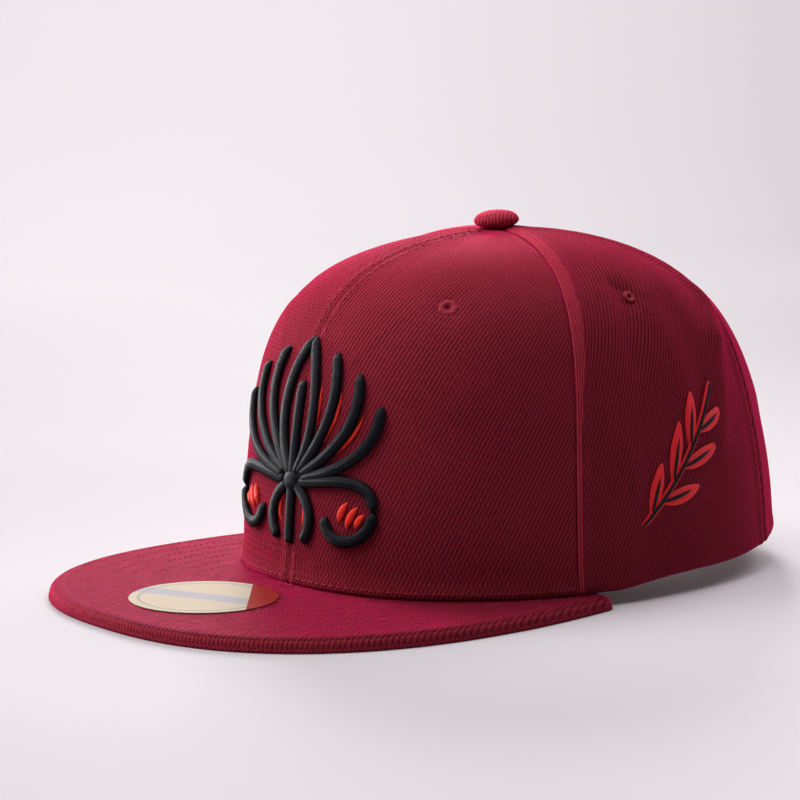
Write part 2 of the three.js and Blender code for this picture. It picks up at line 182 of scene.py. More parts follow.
# %% Fill the air
# How bright the air is as a light, and how bright it looks to the camera
WORLD_STRENGTH, SEEN_AIR = 0.11, 0.7
world = bpy.data.worlds.new("studio_air")
world.use_nodes = True
air = world.node_tree
background = air.nodes["Background"]
background.inputs["Color"].default_value = (0.98, 0.95, 0.98, 1)
ray_kind = air.nodes.new("ShaderNodeLightPath")
strength = air.nodes.new("ShaderNodeMath")
strength.operation = "MULTIPLY_ADD"
strength.inputs[1].default_value = SEEN_AIR - WORLD_STRENGTH
strength.inputs[2].default_value = WORLD_STRENGTH
air.links.new(ray_kind.outputs["Is Camera Ray"], strength.inputs[0])
air.links.new(strength.outputs[0], background.inputs["Strength"])
bpy.context.scene.world = world
bpy.context.scene.view_settings.view_transform = "Standard"
print("air:", WORLD_STRENGTH, "as a light,", SEEN_AIR, "to the camera")

# %% [markdown]
# ## The crown's own shape
# All six panels lie on one rounded form. A plan angle goes round it and a climb goes from the rim
# to the top. Writing the form as a formula, and not as a sculpted mesh, lets the cloth, the
# stitches, the eyelets and the embroidery all ask for the same surface and meet each other
# exactly.

# %% The crown as a formula, the same as the solids
RIM_HALF_WIDTH, RIM_HALF_LENGTH, CROWN_HEIGHT = 79.8, 102.2, 117.0
CROWN_LEAN = math.radians(3.95)
RIM_MIDDLE_HEIGHT = 5.4
LOWEST_CLIMB, HIGHEST_CLIMB, APEX_CLIMB = 1e-4, math.pi / 2 - 1e-4, math.pi / 2 - 1e-6
APEX_FORWARD, APEX_SHIFT_POWER, DOME_DIP, WAIST = 1.6, 2.35, 0.8, 0.033
PLAN_POWER_AT_RIM, PLAN_POWER_AT_TOP, RISE_POWER = 2.25, 2.5, 3.09
FRONT_POWER, SIDE_POWER, BACK_POWER = 3.12, 2.72, 1.62
BRIM_THICKNESS, BRIM_END, TOUCH_GAP = 4.6, 29.5, 0.3


def signed_power(value, power):
    return np.sign(value) * np.abs(value) ** power


def crown_points(angle, climb):
    """Points of the crown in millimetres. A climb of 0 is the rim and a quarter turn the top."""
    across, along = np.cos(angle), np.sin(angle)
    front, back = np.maximum(-along, 0) ** 2, np.maximum(along, 0) ** 2
    reach_power = (FRONT_POWER * front + SIDE_POWER * (1 - front - back) + BACK_POWER * back)
    rise = np.sin(climb) ** (2 / RISE_POWER)
    reach = np.cos(climb) ** (2 / reach_power) - WAIST * np.sin(np.pi * rise) ** 2
    plan = 2 / (PLAN_POWER_AT_RIM + (PLAN_POWER_AT_TOP - PLAN_POWER_AT_RIM) * rise)
    x = reach * RIM_HALF_WIDTH * signed_power(across, plan)
    y = (reach * RIM_HALF_LENGTH * signed_power(along, plan)
         - APEX_FORWARD * rise ** APEX_SHIFT_POWER)
    z = CROWN_HEIGHT * rise - DOME_DIP * np.sin(np.pi * np.minimum(reach, 1)) ** 2
    lean, rest = math.sin(CROWN_LEAN), math.cos(CROWN_LEAN)
    return np.stack([x, y * rest - z * lean, y * lean + z * rest + RIM_MIDDLE_HEIGHT], -1)


def crown_normals(angle, climb, step=0.01):
    round_it = crown_points(angle + step, climb) - crown_points(angle - step, climb)
    up_it = (crown_points(angle, np.minimum(climb + step, HIGHEST_CLIMB))
             - crown_points(angle, np.maximum(climb - step, LOWEST_CLIMB)))
    normal = np.cross(round_it, up_it)
    return normal / np.linalg.norm(normal, axis=-1, keepdims=True)


crown_apex = crown_points(np.array(0.0), np.array(APEX_CLIMB))
print("top of the crown at", crown_apex.round(1), "mm")


# %% Helpers that find places on the crown
HEM_BOW, HEM_BOW_LENGTH, HEM_RISE_LENGTH = 1.7, 28.0, 10.0


def solve(rising, target, low, high, passes=32):
    """Where a rising function meets its target, found by halving the range again and again."""
    low, high = np.broadcast_arrays(np.asarray(low, float), np.asarray(high, float))
    low, high = low.copy(), high.copy()
    for _ in range(passes):
        middle = (low + high) / 2
        short = rising(middle) < target
        low, high = np.where(short, middle, low), np.where(short, high, middle)
    return (low + high) / 2


def smooth_step(value, start, end):
    share = np.clip((value - start) / (end - start), 0, 1)
    return share * share * (3 - 2 * share)


def share_of_climb(climb):
    """Equal steps of this share lie closer together on the climb near the hem and the top."""
    return 1 - (1 - (2 * climb / np.pi) ** (2 / 3)) ** (2 / 3)


def climb_of_share(share):
    return np.pi / 2 * (1 - (1 - share) ** 1.5) ** 1.5


def hem_height(y):
    """The hem rests on the brim, and follows the leaning rim with a small bow behind it."""
    rim_plane = RIM_MIDDLE_HEIGHT + y * math.tan(CROWN_LEAN)
    on_brim = 1 - smooth_step(y, 1 - BRIM_END, 1 + HEM_RISE_LENGTH - BRIM_END)
    bowed = rim_plane + HEM_BOW * np.exp(-(y / HEM_BOW_LENGTH) ** 2)
    return np.maximum(rim_plane, BRIM_THICKNESS + TOUCH_GAP) * on_brim + bowed * (1 - on_brim)


print("hem at the middle and at the back:",
      [round(float(hem_height(np.array(y))), 1) for y in (0.0, RIM_HALF_LENGTH)], "mm high")

# %% [markdown]
# ## Twill cloth
# Twill is woven with raised ribs that climb to the right, here about 1.4 mm apart. On a crown
# this close to the camera each rib shows as a line of light, so the ribs are cut into the mesh
# itself: the columns of the grid run along them, with six across each one. Yarns inside a rib are
# finer than the mesh and stay in the material as a small bump. Loose fibres catch light at a
# slant, which is what the sheen of the shader stands for.

# %% Small helpers for shader nodes
def new_material(name):
    material = bpy.data.materials.new(name)
    material.use_nodes = True
    shader = material.node_tree.nodes["Principled BSDF"]
    return material, material.node_tree, shader


def math_node(tree, operation, first, second=None, third=None):
    node = tree.nodes.new("ShaderNodeMath")
    node.operation = operation
    for socket, value in zip(node.inputs, (first, second, third)):
        if value is None:
            continue
        if isinstance(value, (int, float)):
            socket.default_value = value
        else:
            tree.links.new(value, socket)
    return node.outputs[0]


def mix_colours(tree, factor, first, second):
    node = tree.nodes.new("ShaderNodeMix")
    node.data_type = "RGBA"
    sockets = (node.inputs[0], node.inputs[6], node.inputs[7])
    for socket, value in zip(sockets, (factor, first, second)):
        if hasattr(value, "is_linked"):
            tree.links.new(value, socket)
        else:
            socket.default_value = value
    return node.outputs[2]


def noise_value(tree, vector, scale, detail=3.0, roughness=0.55):
    node = tree.nodes.new("ShaderNodeTexNoise")
    node.inputs["Scale"].default_value = scale
    node.inputs["Detail"].default_value = detail
    node.inputs["Roughness"].default_value = roughness
    tree.links.new(vector, node.inputs["Vector"])
    return node.outputs["Fac"]


def add_bump(tree, shader, height, strength, distance):
    node = tree.nodes.new("ShaderNodeBump")
    node.inputs["Strength"].default_value = strength
    node.inputs["Distance"].default_value = distance
    tree.links.new(height, node.inputs["Height"])
    tree.links.new(node.outputs["Normal"], shader.inputs["Normal"])


def ridges(tree, turn):
    """Round ridges with a sharp groove between them, one for each half turn."""
    return math_node(tree, "ABSOLUTE", math_node(tree, "SINE", turn))


node_helpers = (new_material, math_node, mix_colours, noise_value, add_bump, ridges)
print("helpers:", [helper.__name__ for helper in node_helpers])

# %% The twill material, with painted shade in its grooves
RIB_SPACING = 1.42
YARN_PITCH, YARN_LEAN, YARN_SHARE, RIB_SHARE = 0.9, 2.2, 0.18, 0.82
RIB_COLOUR = (0.255, 0.0205, 0.036)
GROOVE_SHADE_COLOUR = (0.043, 0.0040, 0.0075)
SHEEN_COLOUR = (1.0, 0.015, 0.155, 1)


def twill_material(name, share, rib_bump=0.0, slub=0.0, groove_shade_share=None, gloss=0.004):
    """Ribs along U and yarns along V, with painted shade in the grooves. The share dims or lightens
    the colours into lit and shaded copies; slub makes uneven yarns.
    """
    material, tree, shader = new_material(name)
    coordinates = tree.nodes.new("ShaderNodeTexCoord")
    split = tree.nodes.new("ShaderNodeSeparateXYZ")
    tree.links.new(coordinates.outputs["UV"], split.inputs[0])
    ribs, along = split.outputs["X"], split.outputs["Y"]
    rib_wave = ridges(tree, math_node(tree, "MULTIPLY", ribs, math.pi))
    yarn_turn = math_node(tree, "ADD", math_node(tree, "MULTIPLY", along, math.pi / YARN_PITCH),
                          math_node(tree, "MULTIPLY", ribs, YARN_LEAN))
    yarn_wave = ridges(tree, yarn_turn)
    place = coordinates.outputs["Object"]
    fuzz = noise_value(tree, place, 1900, 2.0)
    cloud = noise_value(tree, place, 38, 3.0)
    depth = math_node(tree, "POWER", rib_wave, 1.5)
    shade = math_node(tree, "MULTIPLY", depth, RIB_SHARE)
    shade = math_node(tree, "MULTIPLY_ADD", yarn_wave, YARN_SHARE, shade)
    shade = math_node(tree, "ADD", shade, math_node(tree, "MULTIPLY_ADD", fuzz, 1.3, -0.65))
    if slub:
        yarn_place = tree.nodes.new("ShaderNodeCombineXYZ")
        tree.links.new(math_node(tree, "MULTIPLY", ribs, RIB_SPACING * 0.8), yarn_place.inputs["X"])
        tree.links.new(math_node(tree, "MULTIPLY", along, 0.13), yarn_place.inputs["Y"])
        lumps = noise_value(tree, yarn_place.outputs[0], 1.0, 2.0)
        lift = math_node(tree, "MULTIPLY_ADD", lumps, 2.6 * slub, -1.3 * slub)
        shade = math_node(tree, "ADD", shade, lift)
        fuzz = math_node(tree, "MULTIPLY_ADD", lumps, 3.0 * slub, fuzz)
    # The darker groove colour is painted shade in the grooves between ribs and between yarns.
    rib_colour = [c * share for c in RIB_COLOUR] + [1]
    groove_shade_colour = [c * (groove_shade_share or share) for c in GROOVE_SHADE_COLOUR] + [1]
    cloth = mix_colours(tree, shade, groove_shade_colour, rib_colour)
    fade = math_node(tree, "MULTIPLY_ADD", cloud, 0.35, -0.06)
    cloth = mix_colours(tree, fade, cloth, [c * 1.25 for c in rib_colour[:3]] + [1])
    tree.links.new(cloth, shader.inputs["Base Color"])
    shader.inputs["Roughness"].default_value = 0.62
    shader.inputs["Specular IOR Level"].default_value = gloss
    shader.inputs["Sheen Weight"].default_value = 1.0
    shader.inputs["Sheen Roughness"].default_value = 0.3
    shader.inputs["Sheen Tint"].default_value = SHEEN_COLOUR
    height = math_node(tree, "ADD", math_node(tree, "MULTIPLY", rib_wave, rib_bump),
                       math_node(tree, "ADD", math_node(tree, "MULTIPLY", yarn_wave, 0.35),
                                 math_node(tree, "MULTIPLY", fuzz, 0.9)))
    add_bump(tree, shader, height, 0.7, 0.00025)
    return material


crown_twill = twill_material("crown_twill", 1.0)
# The side panels' copy is darker: painted shade on the side that faces away from the lamps.
side_twill = twill_material("side_twill", 0.85)
# The brim's copy is darker: painted shade on its top. Its steep edge gets the lighter crown copy,
# painted light.
brim_twill = twill_material("brim_twill", 0.53, rib_bump=1.0, slub=0.85, gloss=0.012)
# The button's copy is lighter: painted light on the top of the crown.
button_twill = twill_material("button_twill", 1.5)
# The temple strip's copy is lighter: a painted highlight where the strip catches the light.
strip_twill = twill_material("strip_twill", 1.65, groove_shade_share=0.5)
twills = (crown_twill, side_twill, brim_twill, button_twill, strip_twill)
print("materials:", [material.name for material in twills])

# %% [markdown]
# The sweep under the cap is paper. Even paper looks uneven under soft lights: the part near a
# lamp burns out and the bend goes grey. A photographer moves the lamps until it looks plain. Here
# the tone of the paper itself follows the distance behind the cap, read from the sheet's own
# coordinates, which does the same work with one curve: it is painted light and painted shade,
# darker where the lamps burn the paper out and on the left, lighter where it goes grey and to the
# right of the cap, where the painted light lifts the cap's shadow. Far from the cap the paper fades
# out, so the cap stands on a pale ground from every side and no dark far end of the sweep shows.

# %% Paint light and shade into the sweep
# Distance behind the cap in metres, tone, and how much darker each metre to the left is; both are
# painted light and shade, which even out the lamps and lift the cap's shadow on the right
PAPER_PAINTED_TONES = [(-0.4, 0.59, 0.6), (-0.25, 0.60, 0.6), (-0.1, 0.64, 0.6), (0.05, 0.567, 0.4),
               (0.13, 0.53, 0.3), (0.3, 0.475, 0.05), (0.45, 0.43, 0.0), (0.7, 0.404, 0.0),
               (0.85, 0.418, 0.06), (1.0, 0.455, 0.15), (1.15, 0.505, 0.22), (1.3, 0.538, 0.27),
               (1.45, 0.572, 0.25), (1.6, 0.606, 0.2), (1.8, 0.63, 0.17), (2.1, 0.645, 0.15),
               (2.8, 0.715, 0.15)]
TONES_AHEAD, TONES_LENGTH = 0.4, 3.2
DARKEST_SIDE, BRIGHTEST_SIDE = 0.85, 1.2
PAPER_TINT = {"Red": 1.0, "Green": 0.955, "Blue": 0.99}
paper, tree, shader = new_material("pale_paper")
place = tree.nodes.new("ShaderNodeTexCoord").outputs["Object"]
reach = []
for direction in (AWAY, LEFT, UP):
    dot = tree.nodes.new("ShaderNodeVectorMath")
    dot.operation = "DOT_PRODUCT"
    tree.links.new(place, dot.inputs[0])
    dot.inputs[1].default_value = direction
    reach.append(dot.outputs["Value"])


def curve_of_distance(values):
    """A curve over the distance; a Float Curve works from 0 to 1, so both sides are scaled."""
    curve = tree.nodes.new("ShaderNodeFloatCurve")
    points = curve.mapping.curves[0].points
    for number, (row, value) in enumerate(zip(PAPER_PAINTED_TONES, values)):
        spot = ((row[0] + TONES_AHEAD) / TONES_LENGTH, value)
        if number in (0, len(PAPER_PAINTED_TONES) - 1):
            points[0 if number == 0 else -1].location = spot
        else:
            points.new(*spot)
    curve.mapping.update()
    from_start = math_node(tree, "ADD", reach[0], TONES_AHEAD)
    tree.links.new(math_node(tree, "DIVIDE", from_start, TONES_LENGTH), curve.inputs["Value"])
    return curve.outputs[0]


tone = curve_of_distance([row[1] for row in PAPER_PAINTED_TONES])
half_slope = math_node(
    tree, "SUBTRACT", curve_of_distance([0.5 * row[2] + 0.5 for row in PAPER_PAINTED_TONES]), 0.5)
slope = math_node(tree, "MULTIPLY", half_slope, 2.0)
side = math_node(tree, "SUBTRACT", 1.0, math_node(tree, "MULTIPLY", reach[1], slope))
side = math_node(tree, "MINIMUM", math_node(tree, "MAXIMUM", side, DARKEST_SIDE), BRIGHTEST_SIDE)
grey = math_node(tree, "MULTIPLY", tone, side)
tinted = tree.nodes.new("ShaderNodeCombineColor")
for channel, share in PAPER_TINT.items():
    tree.links.new(math_node(tree, "MULTIPLY", grey, share), tinted.inputs[channel])
tree.links.new(tinted.outputs["Color"], shader.inputs["Base Color"])
shader.inputs["Roughness"].default_value = 0.9
shader.inputs["Specular IOR Level"].default_value = 0.1
print("paper tones at", [row[0] for row in PAPER_PAINTED_TONES], "m behind the cap")

# %% Fade the paper out past the picture
# Ahead of the cap, to both sides and up: where the fade starts, and over how many metres
fade = None
for value, start, span in ((math_node(tree, "MULTIPLY", reach[0], -1.0), 0.7, 1.1),
                           (math_node(tree, "ABSOLUTE", reach[1]), 1.2, 1.0),
                           (reach[2], 0.7, 0.8)):
    part = math_node(tree, "DIVIDE", math_node(tree, "SUBTRACT", value, start), span)
    fade = part if fade is None else math_node(tree, "MAXIMUM", fade, part)
fade = math_node(tree, "MINIMUM", math_node(tree, "MAXIMUM", fade, 0.0), 1.0)
clear = tree.nodes.new("ShaderNodeBsdfTransparent")
mixed = tree.nodes.new("ShaderNodeMixShader")
tree.links.new(fade, mixed.inputs[0])
tree.links.new(shader.outputs[0], mixed.inputs[1])
tree.links.new(clear.outputs[0], mixed.inputs[2])
tree.links.new(mixed.outputs[0], tree.nodes["Material Output"].inputs["Surface"])
floor.data.materials.append(paper)
print(floor.name, "is covered in", paper.name)

# %% [markdown]
# ## The six panels
# Each panel is a long triangle of cloth between two seams. The ribs keep their distance on flat
# cloth, so the pattern is laid out with lengths measured on the surface: along the panel's width,
# and up its middle line. Rows of vertices go up the panel and each row has a vertex wherever a
# rib's phase asks for one. Two neighbouring rows then hold different numbers of vertices, and a
# zip of triangles closes the strip between them.

# %% Zip two rows into triangles
def zip_rows(first, first_at, second, second_at):
    """Triangles between two rows of vertex numbers, each with a rising place along the row."""
    triangles = []
    i = j = 0
    while i < len(first) - 1 or j < len(second) - 1:
        step_first = j == len(second) - 1 or (
            i < len(first) - 1 and first_at[i + 1] <= second_at[j + 1])
        if step_first:
            triangles.append((first[i], first[i + 1], second[j]))
            i += 1
        else:
            triangles.append((first[i], second[j + 1], second[j]))
            j += 1
    return triangles


print("three against two:", zip_rows([0, 1, 2], [0, 0.5, 1], [3, 4], [0, 1]))

# %% Lay a panel's rows out
RIB_ANGLE = math.radians(64)
PANEL_ROWS, PANEL_COLUMNS = 104, 121
TOP_HOLE_RADIUS = 3.0
FRONT_CLOTH, SOFT_CLOTH = 2.4, 1.3


class Panel:
    """A panel's layout: seams, rows, and how far each place is from seams and hem."""

    def __init__(self, name, from_seam, to_seam, cloth):
        self.name, self.cloth = name, cloth
        self.from_seam, self.to_seam = from_seam, to_seam
        self.shares = np.linspace(0, 1, PANEL_COLUMNS)
        none = 0 * self.shares
        low = solve(lambda c: self.over_hem(self.shares, c), 0.0, LOWEST_CLIMB + none, 0.5)
        high = solve(lambda c: self.nearness(self.shares, c), -TOP_HOLE_RADIUS, 1.0 + none,
                     np.pi / 2 - 1e-5)
        low, high = share_of_climb(low), share_of_climb(high)
        self.climb_table = np.linspace(LOWEST_CLIMB, HIGHEST_CLIMB, 900)
        line = crown_points(self.angle(0.5, self.climb_table), self.climb_table)
        self.rise_table = np.r_[0, np.cumsum(np.linalg.norm(np.diff(line, axis=0), axis=1))]
        steps = np.r_[0, 0.004, 0.009, np.linspace(0.015, 1, PANEL_ROWS - 3)]
        self.climbs = climb_of_share(low + (high - low) * steps[:, None])
        grid = crown_points(self.angle(self.shares[None, :], self.climbs), self.climbs)
        lengths = np.linalg.norm(np.diff(grid, axis=1), axis=2)
        self.width = np.concatenate([np.zeros((len(steps), 1)), np.cumsum(lengths, axis=1)], axis=1)
        self.across = self.width - self.width[:, PANEL_COLUMNS // 2, None]
        self.up = np.interp(self.climbs, self.climb_table, self.rise_table)
        over_ribs = self.across * math.sin(RIB_ANGLE) - self.up * math.cos(RIB_ANGLE)
        self.phase = over_ribs / RIB_SPACING

    def angle(self, share, climb):
        turn = np.sin(climb)
        start = self.from_seam[0] + self.from_seam[1] * turn
        end = self.to_seam[0] + self.to_seam[1] * turn
        return start + (end - start) * share

    def over_hem(self, share, climb):
        point = crown_points(self.angle(share, climb), climb)
        return point[..., 2] - hem_height(point[..., 1])

    def nearness(self, share, climb):
        point = crown_points(self.angle(share, climb), climb)
        return -np.hypot(point[..., 0] - crown_apex[0], point[..., 1] - crown_apex[1])


# %% Six panels between their seams
# Each seam starts at a plan angle and turns by a second angle on its way up
FRONT_SEAM, TEMPLE_SEAM = (-math.pi / 2, 0.0), (-0.348, 0.163)
REAR_SIDE_SEAM, BACK_SEAM = (0.581, 0.075), (math.pi / 2, 0.0)


def other_side(seam):
    return (-math.pi - seam[0], -seam[1])


def ahead_of(seam, turns):
    return (seam[0] + 2 * math.pi * turns, seam[1])


panels = [
    Panel("panel_front_left", FRONT_SEAM, TEMPLE_SEAM, FRONT_CLOTH),
    Panel("panel_side_left", TEMPLE_SEAM, REAR_SIDE_SEAM, SOFT_CLOTH),
    Panel("panel_back_left", REAR_SIDE_SEAM, BACK_SEAM, SOFT_CLOTH),
    Panel("panel_back_right", ahead_of(BACK_SEAM, -1), other_side(REAR_SIDE_SEAM), SOFT_CLOTH),
    Panel("panel_side_right", other_side(REAR_SIDE_SEAM), other_side(TEMPLE_SEAM), SOFT_CLOTH),
    Panel("panel_front_right", other_side(TEMPLE_SEAM), FRONT_SEAM, FRONT_CLOTH),
]
print("panel widths at the hem, mm:", {p.name: round(p.width[0, -1], 1) for p in panels})

# %% [markdown]
# Flat cloth between seams would look like moulded plastic. What makes it read as sewn is small
# relief: the edges roll down into the seams, the folded allowance under them makes a soft welt,
# the hem turns outwards on the brim, the eyelets pull the cloth in, and the unlined sides keep a
# few shallow folds. A raised strip of finer twill covers the seam at the temple. Each is a small
# offset along the surface's normal, so they are simply added up.

# %% Sizes of the small relief, in millimetres
RIB_RELIEF = {"front": 0.27, "side": 0.11, "back": 0.11}
TOP_RIB_GAIN = {"front": 0.0, "side": 1.4, "back": 1.4}
# At the seam ahead of each panel and at the seam behind it
WELTS = {"front": (0.25, 0.15), "side": (0.0, 0.5), "back": (0.5, 0.45)}
GROOVES = {"front": (0.15, 0.5), "side": (0.1, 0.6), "back": (0.6, 0.6)}
WELT_PLACE, WELT_WIDTH, GROOVE_WIDTH = 2.6, 2.6, 0.7
STRIP_RIB, STRIP_RIB_RELIEF, STRIP_LIFT, STRIP_SWELL = 0.85, 0.3, 0.5, 0.45
HEM_FLARE = {"front": 1.5, "side": 0.7, "back": 0.7}
HEM_FLARE_WIDTH, HEM_ROLL, HEM_ROLL_WIDTH = 4.0, 0.6, 0.7
# Plan angle and climb of each eyelet, then depth and width of the two dimples round it
EYELET_PLACES = {"front": (-0.877, 0.9), "side": (0.057, 0.84), "back": (1.02, 0.84)}
WIDE_DIMPLE, SMALL_DIMPLE, PUCKER = (0.8, 5.0), (1.2, 1.7), 0.12
# Both ends of each fold (across and up on the panel), its width and its height
FOLDS = {
    "side": [((38, 112), (24, 78), 5.0, 1.3), ((24, 78), (16, 44), 6.0, 0.9),
             ((-16, 104), (-24, 76), 4.5, -1.1), ((-30, 46), (-33, 6), 4.0, 0.8),
             ((2, 92), (10, 62), 7.0, -0.9)],
    "back": [((-8, 96), (-14, 52), 7.0, 0.7), ((22, 84), (26, 40), 8.0, -0.6)],
    "front": [((-12, 102), (-30, 84), 1.4, 0.22), ((18, 60), (34, 30), 16.0, -0.35)],
}
print("folds on each kind of panel:", {kind: len(folds) for kind, folds in FOLDS.items()})


# %% Relief of the cloth along its normal
def distance_to_segment(across, up, start, end):
    start, end = np.array(start, float), np.array(end, float)
    span = end - start
    along = (across - start[0]) * span[0] + (up - start[1]) * span[1]
    share = np.clip(along / (span @ span), 0, 1)
    return np.hypot(across - start[0] - share * span[0], up - start[1] - share * span[1])


def seam_profile(distance, welt, groove):
    return (welt * np.exp(-((distance - WELT_PLACE) / WELT_WIDTH) ** 2)
            - groove * np.exp(-(distance / GROOVE_WIDTH) ** 2))


def temple_strip(up):
    """Width of the raised strip along the temple seam, wider towards the button."""
    return 2.0 + 2.8 * smooth_step(up, 55, 90)


def cloth_relief(panel, points, phase, across, up, from_left, from_right, over_hem):
    """The sum of ribs, seams, strip, hem, folds and eyelet at each of the points."""
    kind = panel.name.split("_")[1]
    side = -1 if panel.name.endswith("right") else 1
    fore, aft = (from_left, from_right) if side > 0 else (from_right, from_left)
    calm = (smooth_step(np.minimum(from_left, from_right), 0.2, 1.2)
            * smooth_step(over_hem, 0.3, 1.5))
    height = RIB_RELIEF[kind] * (1 + TOP_RIB_GAIN[kind] * smooth_step(up, 60, 95))
    strip = temple_strip(up) if kind == "side" else np.zeros_like(up)
    on_strip = fore < strip
    height = np.where(on_strip, STRIP_RIB_RELIEF, height)
    relief = height * (np.abs(np.sin(np.pi * phase)) ** 0.8 - 0.6) * np.where(on_strip, 1, calm)
    relief = relief + seam_profile(fore, WELTS[kind][0], GROOVES[kind][0])
    relief = relief + seam_profile(aft, WELTS[kind][1], GROOVES[kind][1])
    if kind == "side":
        lift = (STRIP_LIFT * smooth_step(fore, 0.0, 0.5)
                + STRIP_SWELL * smooth_step(fore, 0.0, strip))
        relief = relief + lift * np.exp(-(np.clip(fore - strip, 0, None) / WELT_WIDTH) ** 2)
    relief = relief + HEM_FLARE[kind] * np.exp(-(over_hem / HEM_FLARE_WIDTH) ** 2)
    relief = relief - HEM_ROLL * np.exp(-(over_hem / HEM_ROLL_WIDTH) ** 2)
    for start, end, width, height in FOLDS[kind]:
        away = distance_to_segment(across * side, up, start, end)
        relief = relief + height * np.exp(-(away / width) ** 2)
    angle, climb = EYELET_PLACES[kind]
    eyelet = crown_points(np.array(angle), np.array(climb)) * (side, 1, 1)
    away = np.linalg.norm(points - eyelet, axis=-1)
    ring = np.arctan2(points[..., 2] - eyelet[2], points[..., 1] - eyelet[1])
    pucker = np.sin(7 * ring) * np.exp(-((away - 6.5) / 2.5) ** 2)
    for depth, width in (WIDE_DIMPLE, SMALL_DIMPLE):
        relief = relief - depth * np.exp(-(away / width) ** 2)
    return relief + PUCKER * pucker


print("the strip at the temple, below and above:",
      [round(float(temple_strip(np.array(up))), 1) for up in (0, 120)], "mm wide")


# %% Find a panel's vertices
RIB_SAMPLES, INNER_COLUMNS, SEAM_CLOSE = 6, 9, 0.02


def panel_rows(panel):
    """Shares of the width for each row: the ends, and each step of the ribs' phase between."""
    rows = []
    for phase in panel.phase:
        low = math.ceil(phase[0] * RIB_SAMPLES + 0.3)
        high = math.floor(phase[-1] * RIB_SAMPLES - 0.3)
        marks = np.r_[phase[0], np.arange(low, high + 1) / RIB_SAMPLES, phase[-1]]
        shares = np.interp(marks, phase, panel.shares)
        rows.append((shares, marks))
    return rows


def panel_lengths(panel, row, share):
    """Across, up, and the distances from both seams and the hem, at shares of one row."""
    across = np.interp(share, panel.shares, panel.across[row])
    up = np.interp(share, panel.shares, panel.up[row])
    hem = np.interp(share, panel.shares, panel.up[0])
    return across, up, across - panel.across[row, 0], panel.across[row, -1] - across, up - hem


print("vertices on the lowest row of each panel:",
      [len(panel_rows(panel)[0][0]) for panel in panels])


# %% Lay the threads on a mesh, and dress a piece
def lay_uv(mesh, per_vertex):
    """Keep each vertex's place in the weave, which the materials read."""
    layer = mesh.uv_layers.new(name="cloth")
    loops = np.empty(len(mesh.loops), dtype=np.int64)
    mesh.loops.foreach_get("vertex_index", loops)
    layer.data.foreach_set("uv", np.asarray(per_vertex, np.float32)[loops].ravel())


def dress(piece, slot, material, *nodes):
    """Give a piece its material, and say what it rides on and stands for. The finish slot is not
    used.
    """
    if not piece.data.materials:
        piece.data.materials.append(material)
    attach(piece, "root")
    if nodes:
        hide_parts(*nodes)
    return piece


print("helpers:", [helper.__name__ for helper in (lay_uv, dress)])


# %% Build the six panels
def build_panel(panel):
    """An outer face with all the relief, and a plain inner face one cloth's thickness behind it."""
    rows = panel_rows(panel)
    share = np.concatenate([s for s, _ in rows])
    phase = np.concatenate([p for _, p in rows])
    climb = np.concatenate([np.interp(s, panel.shares, panel.climbs[r])
                            for r, (s, _) in enumerate(rows)])
    lengths = [panel_lengths(panel, r, s) for r, (s, _) in enumerate(rows)]
    across, up, left, right, hem = (np.concatenate(part) for part in zip(*lengths))
    width = left + right
    inset = SEAM_CLOSE / np.maximum(width, 1)
    angle = panel.angle(np.clip(share, inset, 1 - inset), climb)
    points, normals = crown_points(angle, climb), crown_normals(angle, climb)
    if "side" in panel.name:
        fore = right if panel.name.endswith("right") else left
        phase = np.where(fore < temple_strip(up), fore / STRIP_RIB, phase)
    relief = cloth_relief(panel, points, phase, across, up, left, right, hem)
    outer = points + normals * relief[:, None]
    inner_shares = np.linspace(0, 1, INNER_COLUMNS)
    inner_climb = np.array([np.interp(inner_shares, panel.shares, c) for c in panel.climbs])
    inner_angle = panel.angle(inner_shares[None, :], inner_climb)
    inner = (crown_points(inner_angle, inner_climb)
             - crown_normals(inner_angle, inner_climb) * panel.cloth)
    inner_phase = np.array([np.interp(inner_shares, panel.shares, p) for p in panel.phase])
    starts = np.cumsum([0] + [len(s) for s, _ in rows])
    numbers = [list(range(starts[r], starts[r + 1])) for r in range(len(rows))]
    below = [list(range(len(outer) + r * INNER_COLUMNS, len(outer) + (r + 1) * INNER_COLUMNS))
             for r in range(len(rows))]
    faces = []
    for r in range(len(rows) - 1):
        faces += zip_rows(numbers[r], rows[r][0], numbers[r + 1], rows[r + 1][0])
        faces += [t[::-1] for t in zip_rows(below[r], inner_shares, below[r + 1], inner_shares)]
        faces += [(numbers[r][0], numbers[r + 1][0], below[r + 1][0], below[r][0]),
                  (numbers[r + 1][-1], numbers[r][-1], below[r][-1], below[r + 1][-1])]
    faces += [t[::-1] for t in zip_rows(numbers[0], rows[0][0], below[0], inner_shares)]
    faces += zip_rows(numbers[-1], rows[-1][0], below[-1], inner_shares)
    made = new_mesh_object(panel.name.replace("panel", "cloth"),
                           to_frame(np.vstack([outer, inner.reshape(-1, 3)])), faces)
    along = across * math.cos(RIB_ANGLE) + up * math.sin(RIB_ANGLE)
    uv = np.vstack([np.stack([phase, along], 1),
                    np.stack([inner_phase.ravel(), np.repeat(panel.up[:, 0], INNER_COLUMNS)], 1)])
    lay_uv(made.data, uv)
    made.data.set_sharp_from_angle(angle=math.radians(70))
    # The side panels get the darker copy of the twill, painted shade, and the strip's faces the
    # lighter one, a painted highlight.
    if "side" in panel.name:
        made.data.materials.append(side_twill)
        made.data.materials.append(strip_twill)
        inside = np.zeros(len(made.data.vertices) - len(fore), bool)
        on_strip = np.r_[fore < temple_strip(up), inside]
        for polygon in made.data.polygons:
            polygon.material_index = int(all(on_strip[v] for v in polygon.vertices))
    return made


for panel in panels:
    piece = dress(build_panel(panel), "burgundy_twill", crown_twill, panel.name)
    print(piece.name, len(piece.data.polygons), "faces")

